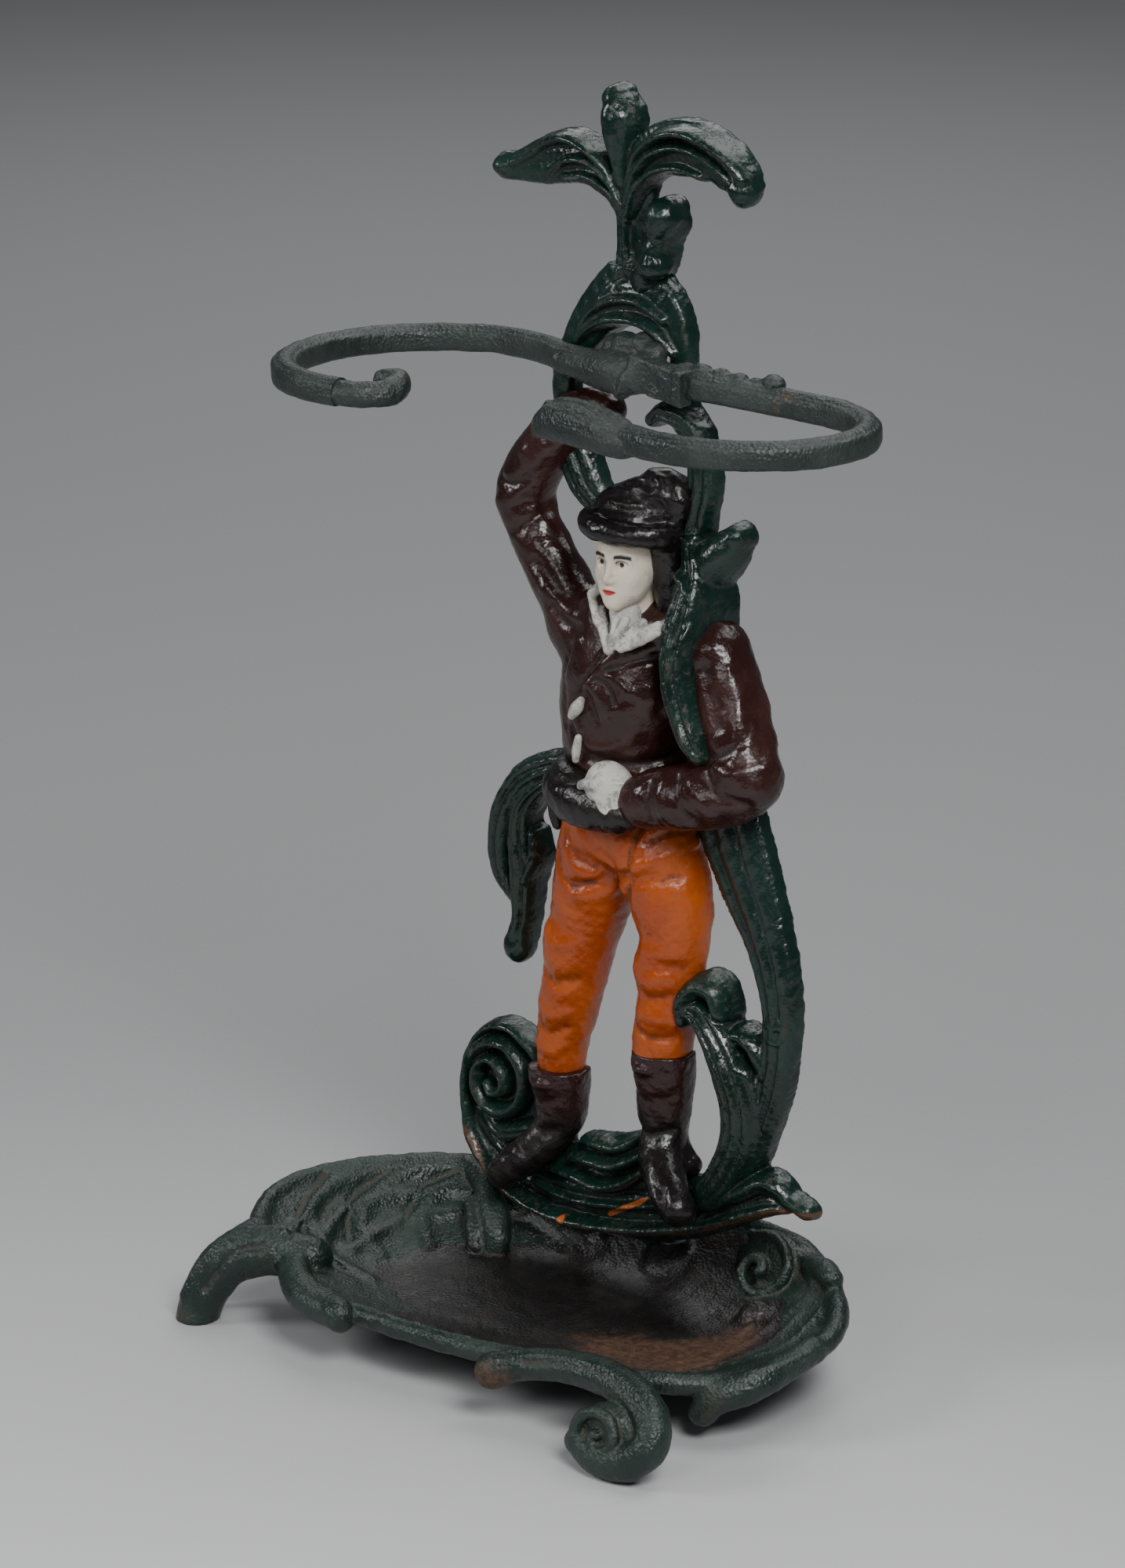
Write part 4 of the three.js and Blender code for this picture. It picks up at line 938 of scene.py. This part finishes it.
# ---------------------------------------------------------------------------------------------
# Back casting, the figure's head and hand. Cast in one with the body and painted by hand: cream
# skin, dark brows and eyes, a red mouth, a white shirt collar, and a black cap with a rolled brim.
# ---------------------------------------------------------------------------------------------

# The head is laid out by the usual drawing rules, about its own middle: the eyes lie halfway
# between crown and chin, and brow, nose base and chin are a third of the face apart.
HEAD = np.array([25.0, -25.0, 447.0])
EYES, BROWS, NOSE_BASE, MOUTH = 0.5, 4.4, -9.6, -14.4
EYE_SPACING = 6.6
TURN = math.radians(6)


def head_spot(side, forward, up, *radius):
    """A place on the head: to its left, forward of its middle, and up, in millimetres."""
    return (HEAD[0] + side * math.cos(TURN) + forward * math.sin(TURN),
            HEAD[1] + side * math.sin(TURN) - forward * math.cos(TURN), HEAD[2] + up, *radius)


head = Clay((-4, -60, 392), (52, 3, 486), 0.5)
head.ball(head_spot(0, 0, 6), (17.8, 19.5, 22), 2.0)
head.ball(head_spot(0, 5, -6), (15.4, 15.4, 17.6), 5.0)
head.ball(head_spot(0, 9, -15), (11.2, 11.2, 10), 5.0)
head.ball(head_spot(0, 15, -21.5), (5.5, 5, 4.6), 4.0)
head.rod([head_spot(0, -6, -16, 10.5), (26, -20, 418, 11), (28, -17, 402, 14)], 4.0)
for side in (-1, 1):
    head.ball(head_spot(side * EYE_SPACING, 20.5, EYES), (4.6, 3.6, 3.2), 2.6, cut=True)
    head.ball(head_spot(side * EYE_SPACING, 14.4, EYES), (3.3, 3.3, 2.6), 0.6)
    head.rod([head_spot(side * (EYE_SPACING - 3.4), 16.2, EYES + 0.6, 0.7),
              head_spot(side * EYE_SPACING, 17.3, EYES + 2.2, 0.8),
              head_spot(side * (EYE_SPACING + 3.6), 15.0, EYES + 0.7, 0.6)], 0.8)
    head.rod([head_spot(side * (EYE_SPACING - 3.0), 16.0, EYES - 1.0, 0.6),
              head_spot(side * EYE_SPACING, 16.8, EYES - 2.2, 0.6),
              head_spot(side * (EYE_SPACING + 3.4), 14.8, EYES - 0.8, 0.5)], 0.8)
    head.rod([head_spot(side * 2.6, 18.4, BROWS - 0.4, 1.0), head_spot(side * 6.8, 18.2, BROWS + 0.8, 1.1),
              head_spot(side * 11.4, 14.4, BROWS - 0.2, 0.9)], 2.4)
    head.ball(head_spot(side * 8.6, 12.2, -7.0), (4.6, 4.4, 4.4), 4.0)
    head.ball(head_spot(side * 2.3, 20.6, NOSE_BASE + 1.2), (1.7, 1.9, 1.5), 1.4)
head.rod([head_spot(0, 17.4, BROWS - 1.2, 1.7), head_spot(0, 19.6, EYES - 2.4, 1.8),
          head_spot(0, 22.2, NOSE_BASE + 3.0, 2.0), head_spot(0, 22.0, NOSE_BASE + 1.6, 2.0)], 1.8)
head.rod([head_spot(-4.4, 17.4, MOUTH, 0.7), head_spot(-1.6, 19.8, MOUTH + 1.0, 1.15),
          head_spot(0, 20.0, MOUTH + 0.8, 1.1), head_spot(1.6, 19.8, MOUTH + 1.0, 1.15),
          head_spot(4.4, 17.4, MOUTH, 0.7)], 1.2)
head.rod([head_spot(-3.6, 17.6, MOUTH - 1.4, 0.8), head_spot(0, 19.6, MOUTH - 2.2, 1.4),
          head_spot(3.6, 17.6, MOUTH - 1.4, 0.8)], 1.2)
head.stroke([head_spot(-4.8, 18.0, MOUTH - 0.3), head_spot(0, 20.8, MOUTH - 0.5),
             head_spot(4.8, 18.0, MOUTH - 0.3)], 0.7, -0.7)
head.rod([head_spot(15.6, -1.5, 2.0, 2.6), head_spot(15.4, -1.0, -4.5, 2.2)], 2.0)
head.rod([head_spot(-15.6, -1.5, 2.0, 2.6), head_spot(-15.4, -1.0, -4.5, 2.2)], 2.0)
head.roughen(7, 0.12, 31)


def face_paint(place):
    """Brush marks on the face: brows, eyes and mouth, by their place on the head."""
    off = place - HEAD
    side = off[:, 0] * math.cos(TURN) + off[:, 1] * math.sin(TURN)
    forward = off[:, 0] * math.sin(TURN) - off[:, 1] * math.cos(TURN)
    up = off[:, 2]
    front = ease(forward, 9, 12)
    out = np.abs(side)
    arch = BROWS + 0.9 - 0.05 * (out - 7.0) ** 2
    brow = ease(1.35 - np.abs(up - arch), 0, 0.5) * ease(out, 2.4, 3.4) * ease(12.4 - out, 0, 1.0) * front
    lid = EYES + 2.3 - 0.13 * (out - EYE_SPACING) ** 2
    lash = ease(0.65 - np.abs(up - lid), 0, 0.4) * ease(4.0 - np.abs(out - EYE_SPACING), 0, 0.6) * front
    iris = ease(1.75 - np.hypot(out - EYE_SPACING, up - EYES - 0.2), 0, 0.4) * front
    curve = MOUTH - 0.6 + 0.02 * side**2
    mouth = (ease(1.9 - np.abs(up - curve) - 0.07 * side**2, 0, 0.5) * ease(4.9 - out, 0, 0.8)
             * ease(forward, 13, 15))
    return {"brow": np.maximum(brow, lash * 0.8), "iris": iris, "mouth": mouth}


head_piece = head.cast("head_and_neck", "figure_back", face_paint)
# the third colour, laid into creases and hollows, is dirt with a dark painted shade
paint, base, rough, bumps = cast_iron_paint(
    "cream_oil_paint", (0.70, 0.61, 0.47), (0.80, 0.73, 0.60), (0.14, 0.12, 0.10), 0.3, 0.5,
    0.10, 0.25, (0.30, 0.27, 0.24), 0.4)
thin = paint.maths("ADD", paint.noise(120, 5, 0.65), paint.part(paint.noise(700, 3, 0.6), 0.25))
thin = paint.step(thin, 0.66, 0.82)
base = paint.mix(paint.part(thin, 0.35), base, (0.30, 0.32, 0.34))
base = paint.mix(paint.mark("iris"), base, (0.012, 0.010, 0.010))
base = paint.mix(paint.mark("brow"), base, (0.014, 0.011, 0.010))
base = paint.mix(paint.mark("mouth"), base, (0.42, 0.030, 0.020))
head_piece.data.materials.append(paint.finish(base, rough, bumps))

collar = Clay((-14, -62, 388), (66, 3, 442), 0.65)
for rows in (
    [(6, -36, 426, 2.4), (12, -40, 419, 2.4), (17, -43, 413, 2.2)],
    [(18, -42, 414, 2.6), (23, -44, 407, 2.6), (27, -46, 401, 2.4)],
    [(28, -40, 416, 2.6), (28, -43, 409, 2.6), (28, -46, 401, 2.4)],
    [(38, -43, 418, 2.6), (33, -44, 409, 2.6), (28, -46, 400, 2.4)],
    [(57, -38, 418, 2.2), (46, -42, 411, 2.4), (33, -45, 403, 2.2)],
    [(48, -41, 418, 2.8), (39, -42, 411, 2.8), (31, -44, 404, 2.4)],
    [(58, -40, 414, 2.2), (48, -42, 408, 2.4), (36, -45, 402, 2.2)],
):
    collar.rod(rows, 1.6)
collar.rod([(26, -30, 418, 9), (28, -32, 406, 9)], 2.0)
collar.rod([(4, -20, 430, 4), (8, -34, 428, 3)], 2.0)
collar.fold([(24, 424), (26, 414), (27, 404)], 1.6, -1.4)
collar.fold([(42, 417), (37, 410), (31, 404)], 1.6, -1.2)
collar.roughen(7, 0.35, 32)
collar.cut_away((-20, 0, 380), (70, 10, 450), lambda x, y, z: -y, 0.5)
collar_piece = collar.cast("shirt_collar", "figure_back")

hand = Clay((-16, -66, 300), (66, -30, 374), 0.6)
hand.ball((29, -46, 323), (16, 11, 15), 2.0)
hand.ball((32, -46, 313), (11, 10, 11), 3.0)
hand.ball((18, -48, 317), (5.4, 5, 5), 3.4)
hand.ball((18, -49, 311), (5.2, 5, 5), 2.4)
hand.ball((23, -49, 305), (5.2, 5, 4.6), 2.4)
hand.rod([(30, -55, 329, 3), (22, -56, 325, 3.4), (15, -53, 323, 3)], 2.0)
hand.fold([(24, 326), (18, 321), (12, 319)], 1.6, -1.2)
hand.fold([(26, 316), (20, 313), (14, 312)], 1.6, -1.0)
hand.roughen(6, 0.3, 33)
# two patches of shirt that show where the jacket gapes
hand.rod([(7, -45, 368, 2.2), (4, -45.5, 363, 3.6), (0, -45, 358, 2.4)], 1.6)
hand.rod([(4, -44, 346, 2), (3, -44.5, 339, 2.6), (2, -44, 333, 2)], 2.0)


def dark_spots(place):
    x, y, z = place.T
    spots = 0
    for px, pz, size in ((17, 312, 1.8), (24, 307, 1.5), (14, 317, 1.2), (28, 312, 1.0)):
        spots = spots + np.exp(-(((x - px) ** 2 + (z - pz) ** 2) / size**2))
    return {"iris": np.clip(spots, 0, 1)}


hand_piece = hand.cast("hand_and_shirt", "figure_back", dark_spots)
# the third colour, laid into creases and hollows, is dirt with a dark painted shade
paint, base, rough, bumps = cast_iron_paint(
    "shirt_and_skin_paint", (0.46, 0.45, 0.41), (0.62, 0.60, 0.55), (0.10, 0.09, 0.08), 0.3, 0.5,
    0.16, 0.4, (0.25, 0.22, 0.20), 0.5)
thin = paint.maths("ADD", paint.noise(110, 5, 0.7), paint.part(paint.noise(600, 3, 0.6), 0.3))
thin = paint.step(thin, 0.62, 0.80)
base = paint.mix(paint.part(thin, 0.7), base, (0.16, 0.15, 0.15))
base = paint.mix(paint.mark("iris"), base, (0.03, 0.02, 0.018))
cloth = paint.finish(base, rough, bumps)
hand_piece.data.materials.append(cloth)
collar_piece.data.materials.append(cloth)

cap = Clay((-18, -66, 404), (70, 3, 504), 0.7)
cap.ball((23, -21, 471), (23, 22, 17), 3.0)
cap.ball((38, -14, 480), (21, 16, 17), 7.0)
brim = []
for step in range(21):
    turn = math.radians(step * 18)
    brim.append((26 + 24 * math.cos(turn), -23 + 23 * math.sin(turn),
                 465 - 2 * math.cos(turn) - math.sin(turn), 7.0 + 0.6 * math.sin(2 * turn)))
cap.rod(brim, 3.0, count=72)
# dark hair down the far side of the face, to the collar
cap.rod([(44, -22, 462, 9), (46, -18, 448, 10), (46, -15, 434, 10), (45, -13, 420, 9), (44, -12, 411, 7)],
        4.0)
cap.rod([(4, -14, 466, 6), (4, -10, 450, 6), (6, -8, 438, 5)], 4.0)
cap.ball((26, -8, 454), (22, 12, 22), 5.0)
for rows in ([(4, 486), (20, 492), (40, 490)], [(10, 478), (28, 484), (48, 480)],
             [(44, 496), (52, 484), (54, 474)]):
    cap.fold(rows, 3.0, -1.4)
cap.fold([(0, 474), (16, 478), (34, 477), (48, 478)], 2.6, -1.8)
cap.roughen(9, 0.5, 34)
cap.roughen(4, 0.2, 35)
cap.cut_away((-20, 0, 400), (74, 10, 510), lambda x, y, z: -y, 0.5)
cap_piece = cap.cast("cap_and_hair", "figure_back")
paint, base, rough, bumps = cast_iron_paint(
    "cap_black_enamel", (0.004, 0.003, 0.003), (0.008, 0.005, 0.005), (0.010, 0.008, 0.008), 0.16, 0.36,
    0.12, 0.3, (0.06, 0.05, 0.045), 0.15)
cap_piece.data.materials.append(paint.finish(base, rough, bumps))

# ---------------------------------------------------------------------------------------------
# Umbrella holder. One iron casting bolted across the arch: two open loops that end in a curl and a
# cut-off leaf, and a hub draped with a leaf. Its bars have a low ridge along the top. Grey-green.
# ---------------------------------------------------------------------------------------------

LEFT_LOOP = (-82, -70.5, 76, 80)
RIGHT_LOOP = (141.5, -70.5, 68, 61)


def loop_rows(loop, start, stop, count, height):
    rows = []
    for step in range(count):
        angle = math.radians(start + (stop - start) * step / (count - 1))
        rows.append((loop[0] + loop[2] * math.cos(angle), loop[1] + loop[3] * math.sin(angle), height))
    return rows


BAR_HEIGHT = 543.5
BAR_SIZES = {"Width": 0.015, "Height": 0.0135, "Ridge": 0.0018, "Unevenness": 0.0008}
left_bar = [(14, -22, 549), (-6, -23, 549), (-30, -17, 547.5), (-58, -3, 546)]
left_bar += loop_rows(LEFT_LOOP, 104, 279, 12, BAR_HEIGHT)
right_bar = [(24, -19, 549), (46, -22, 548), (70, -21, 547), (98, -14, 545)]
right_bar += loop_rows(RIGHT_LOOP, 96, -112, 12, BAR_HEIGHT)


def path_object(name, rows):
    """A bare path: points and edges, for the bar recipe to follow."""
    path = smooth_path(rows, 96)
    mesh = bpy.data.meshes.new(name)
    points = [tuple((point + TO_FRAME) / 1000) for point in path]
    mesh.from_pydata(points, [(i, i + 1) for i in range(len(points) - 1)], [])
    return plain_object(name, mesh)


def bar_recipe(material):
    """Node tree that sweeps a flat-sided bar with a ridged top along a path, slightly uneven."""
    tree = bpy.data.node_groups.new("cast_bar", "GeometryNodeTree")
    face = tree.interface
    face.new_socket("Path", in_out="INPUT", socket_type="NodeSocketGeometry")
    for label, value in BAR_SIZES.items():
        face.new_socket(label, in_out="INPUT", socket_type="NodeSocketFloat").default_value = value
    face.new_socket("Seed", in_out="INPUT", socket_type="NodeSocketInt").default_value = 5
    face.new_socket("Bar", in_out="OUTPUT", socket_type="NodeSocketGeometry")
    given = tree.nodes.new("NodeGroupInput").outputs

    def step(kind, settings=(), **inputs):
        return add_node(tree, kind, settings, **inputs).outputs[0]

    def maths(kind, a, b=0.0):
        return step("ShaderNodeMath", [("operation", kind)], n0=a, n1=b)

    line = step("GeometryNodeMeshToCurve", Mesh=given["Path"])
    line = step("GeometryNodeResampleCurve", Curve=line, Count=420)
    line = step("GeometryNodeSetCurveNormal", [("mode", "Z_UP")], Curve=line)
    # square each turn of the profile's circle off, then lift a ridge on its top
    circle = step("GeometryNodeCurvePrimitiveCircle", Resolution=44, Radius=1.0)
    across, up, _ = add_node(tree, "ShaderNodeSeparateXYZ", n0=step("GeometryNodeInputPosition")).outputs
    squared = []
    for share, size in ((across, "Width"), (up, "Height")):
        bulge = maths("MULTIPLY", maths("SIGN", share), maths("POWER", maths("ABSOLUTE", share), 0.5))
        squared.append(maths("MULTIPLY", bulge, maths("MULTIPLY", given[size], 0.5)))
    top = maths("LESS_THAN", up, 0.0)
    beside = maths("MULTIPLY", maths("ABSOLUTE", across), 2.6)
    near = maths("SUBTRACT", 1.0, maths("MINIMUM", beside, 1.0))
    ridge = maths("MULTIPLY", maths("MULTIPLY", near, top), given["Ridge"])
    corner = step("ShaderNodeCombineXYZ", n0=squared[0], n1=maths("SUBTRACT", squared[1], ridge))
    profile = step("GeometryNodeSetPosition", Geometry=circle, Position=corner)
    bar = step("GeometryNodeCurveToMesh", Curve=line, Profile_Curve=profile, Fill_Caps=True)
    noise = add_node(tree, "ShaderNodeTexNoise", [("noise_dimensions", "4D")], Scale=85.0, Detail=3.0,
                     W=given["Seed"]).outputs["Color"]
    centred = step("ShaderNodeVectorMath", [("operation", "SUBTRACT")], n0=noise, n1=(0.5, 0.5, 0.5))
    shift = step("ShaderNodeVectorMath", [("operation", "SCALE")], n0=centred,
                 Scale=maths("MULTIPLY", given["Unevenness"], 2.0))
    bar = step("GeometryNodeSetPosition", Geometry=bar, Offset=shift)
    bar = step("GeometryNodeSetShadeSmooth", Geometry=bar)
    bar = step("GeometryNodeRealizeInstances", Geometry=bar)
    bar = step("GeometryNodeSetMaterial", Geometry=bar, Material=material)
    add_node(tree, "NodeGroupOutput", Bar=bar)
    return tree


paint, base, rough, bumps = cast_iron_paint(
    "holder_green_paint", (0.011, 0.020, 0.017), (0.025, 0.035, 0.030), (0.050, 0.048, 0.038), 0.32, 0.58,
    0.4, 0.7, (0.15, 0.13, 0.11), 0.5)
rust_share = paint.step(paint.noise(24, 6, 0.7), 0.62, 0.76)
base = paint.mix(paint.part(rust_share, 0.5), base, (0.10, 0.045, 0.022))
bare = paint.step(paint.noise(420, 4, 0.7), 0.60, 0.70)
base = paint.mix(paint.part(bare, 0.35), base, (0.12, 0.11, 0.09))
holder_green = paint.finish(base, rough, bumps)

bar_tree = bar_recipe(holder_green)
settings = {item.name: item.identifier for item in bar_tree.interface.items_tree if item.in_out == "INPUT"}
for bar_name, rows, seed in (("left_loop_bar", left_bar, 5), ("right_loop_bar", right_bar, 9)):
    path = path_object(bar_name + "_path", rows)
    sweep = path.modifiers.new("bar", "NODES")
    sweep.node_group = bar_tree
    for label, value in BAR_SIZES.items():
        sweep[settings[label]] = value
    sweep[settings["Seed"]] = seed
    solid = mesh_as_shown(path)
    path.modifiers.remove(sweep)
    bpy.data.objects.remove(path)
    solid.name = bar_name
    # a bar swept in one pass keeps its outside out; turn it over if the sweep came inside out
    check = bmesh.new()
    check.from_mesh(solid)
    bmesh.ops.remove_doubles(check, verts=check.verts, dist=1e-6)
    bmesh.ops.recalc_face_normals(check, faces=check.faces)
    check.to_mesh(solid)
    check.free()
    bar = plain_object(bar_name, solid)
    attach(bar, "root")
    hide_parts("umbrella_holder")

hub = Clay((-36, -48, 526), (126, 12, 576), 0.8)
hub.rod([(-30, -19, 547, 7.5), (-12, -22, 547, 9), (4, -24, 547, 11), (20, -25, 548, 12), (40, -24, 549, 9),
         (62, -22, 548, 7.5)], 3.0)
for x, y, z, r in ((6, -17, 560, 7), (16, -19, 562, 8), (27, -18, 563, 8), (37, -20, 560, 7)):
    hub.ball((x, y, z), (r, r, r * 0.9), 3.0)
# the draped leaf in front of the hub: a fold on the left and a flat flap on the right
hub.rod([(36, -29, 556, 5), (31, -32, 547, 6), (24, -32, 540, 5)], 3.0)
hub.add((20, -46, 530), (76, -14, 570),
        lambda x, y, z: soft_max(soft_max(np.abs(x - 49) - 18, np.abs(y + 29) - 5, 1.5),
                                 np.abs(z - 549 + 0.16 * (x - 49)) - 9.5, 1.5), 2.0)
hub.stroke([(33, -38, 560), (30, -38, 548), (24, -38, 537)], 1.6, 1.4)
hub.stroke([(62, -36, 556), (63, -36, 547), (63, -36, 538)], 1.6, 1.2)
# lumpy leaf along the back of the right bar
for x, y, z, r in ((58, -18, 553, 6), (68, -17, 554, 6), (79, -15, 553, 5.5), (90, -13, 552, 5.5),
                   (101, -10, 551, 5), (111, -9, 553, 6)):
    hub.ball((x, y, z), (r * 1.1, r, r * 0.8), 3.0)
hub.roughen(9, 0.5, 41)
hub.roughen(4, 0.25, 42)
hub_piece = hub.cast("holder_hub", "umbrella_holder")
hub_piece.data.materials.append(holder_green)

curl = Clay((-92, -166, 530), (-40, -106, 560), 0.7)
end = loop_rows(LEFT_LOOP, 274, 280, 2, BAR_HEIGHT)
curl.rod([(*end[0], 7.0), (*end[1], 7.2), (-60, -145, 543, 7.4), (-53, -136, 543, 7.6),
          (-52, -126, 545, 7.4), (-58, -119, 547, 6.6), (-66, -121, 547, 5.6)], 2.0, count=30)
curl.cut_away((-90, -180, 520), (-30, -96, 537), lambda x, y, z: z - 537, 1.0)
curl.roughen(9, 0.5, 43)
curl.roughen(4, 0.25, 44)
curl_piece = curl.cast("holder_curl", "umbrella_holder")
curl_piece.data.materials.append(holder_green)

blade = Clay((30, -152, 524), (140, -98, 566), 0.8)
blade.rod([(120, -129, 542, 7), (108, -128, 541, 8.5), (92, -124, 542, 10), (74, -120, 543, 11.5),
           (60, -118, 542.5, 11), (50, -118, 540, 8.5), (42, -119, 537, 6)], 3.0)
blade.rod([(112, -121, 543, 5), (94, -113, 545, 6), (76, -109, 547, 6), (58, -110, 549, 5),
           (48, -114, 549, 3)], 3.0)
blade.stroke([(118, -128, 548), (96, -121, 551), (74, -116, 553), (52, -116, 554)], 2.2, -3.0)
blade.stroke([(112, -134, 546), (92, -132, 548), (70, -128, 550), (50, -124, 551)], 2.0, 1.4)
blade.cut_away((20, -160, 520), (56, -90, 570), lambda x, y, z: x - 45.5, 1.0)
blade.cut_away((20, -160, 516), (150, -90, 536), lambda x, y, z: z - 533, 1.0)
blade.roughen(9, 0.5, 45)
blade.roughen(4, 0.25, 46)
blade_piece = blade.cast("holder_leaf_end", "umbrella_holder")
blade_piece.data.materials.append(holder_green)

# ---------------------------------------------------------------------------------------------
# Fasteners. Square-headed iron bolts, square nuts and washers: one through the holder's hub and two
# through the lugs at the foot. Bare iron gone brown with rust.
# ---------------------------------------------------------------------------------------------

paint = Paint("rusted_iron")
tone = paint.noise(160, 5, 0.6)
base = paint.mix(paint.step(tone, 0.35, 0.65), (0.055, 0.034, 0.024), (0.16, 0.075, 0.036))
rusted = paint.finish(base, paint.step(tone, 0.3, 0.7, 0.5, 0.8),
                      [(tone, 0.4), (paint.noise(800, 3, 0.6), 0.2)])
FASTENERS = [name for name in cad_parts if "bolt" in name or "nut" in name or "washer" in name]
for name in FASTENERS:
    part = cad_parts[name]
    part.data.materials.clear()
    part.data.materials.append(rusted)

# ---------------------------------------------------------------------------------------------
# Studio. A pale sheet to stand on, its colour painted light near the stand and darker with distance as a
# painted pool of light; soft boxes to the right, left and above, and a long lens that looks down on the
# stand's front right.
# ---------------------------------------------------------------------------------------------


def aim_at(thing, place, target):
    thing.location = place
    thing.rotation_mode = "QUATERNION"
    thing.rotation_quaternion = (mathutils.Vector(target) - thing.location).to_track_quat("-Z", "Y")


sheet = bpy.data.meshes.new("floor")
sheet.from_pydata([(-9, -9, 0), (9, -9, 0), (9, 9, 0), (-9, 9, 0)], [], [(0, 1, 2, 3)])
floor = plain_object("floor", sheet)
paper = Paint("studio_paper")
# painted pool of light: the sheet's colour is lightest around a spot to the stand's front right and darkens
# away from it
reach = paper.node("ShaderNodeVectorMath", [("operation", "DISTANCE")], n0=paper.place, n1=(0.4, -0.9, 0.0))
painted_light_falloff = paper.step(reach.outputs["Value"], 0.4, 1.5)
tone = paper.mix(painted_light_falloff, (0.62, 0.62, 0.63), (0.32, 0.32, 0.325))
grain = paper.noise(300, 3, 0.5)
sheet.materials.append(paper.finish(tone, paper.step(grain, 0.3, 0.7, 0.75, 0.85), [(grain, 0.02)]))

LAMPS = [
    ("right_box", (1.7, -0.9, 1.9), (0.0, 0.0, 0.35), 0.9, 50),
    ("left_box", (-1.5, -1.7, 1.5), (0.0, 0.0, 0.30), 0.8, 24),
    ("top_box", (0.2, 0.9, 2.3), (0.0, 0.0, 0.30), 1.4, 22),
    ("front_box", (0.6, -2.3, 1.7), (0.0, 0.0, 0.20), 0.9, 12),
    ("far_box", (-2.2, 2.4, 2.6), (-2.2, 2.4, 0.0), 2.4, 40),
]
for name, place, target, size, power in LAMPS:
    lamp = bpy.data.lights.new(name, "AREA")
    lamp.shape = "SQUARE"
    lamp.size = size
    lamp.energy = power
    aim_at(plain_object(name, lamp), place, target)

world = bpy.data.worlds.new("room")
world.use_nodes = True
world.node_tree.nodes["Background"].inputs["Color"].default_value = (0.80, 0.86, 0.92, 1.0)
world.node_tree.nodes["Background"].inputs["Strength"].default_value = 0.10
bpy.context.scene.world = world

lens = bpy.data.cameras.new("camera")
lens.lens = 116.66
lens.sensor_width = 36
camera = plain_object("camera", lens)
shift = mathutils.Vector(TO_FRAME / 1000)
aim_at(camera, mathutils.Vector((1.8122, -1.9959, 1.1178)) + shift,
       mathutils.Vector((0.0476, -0.1035, 0.34155)) + shift)
bpy.context.scene.camera = camera
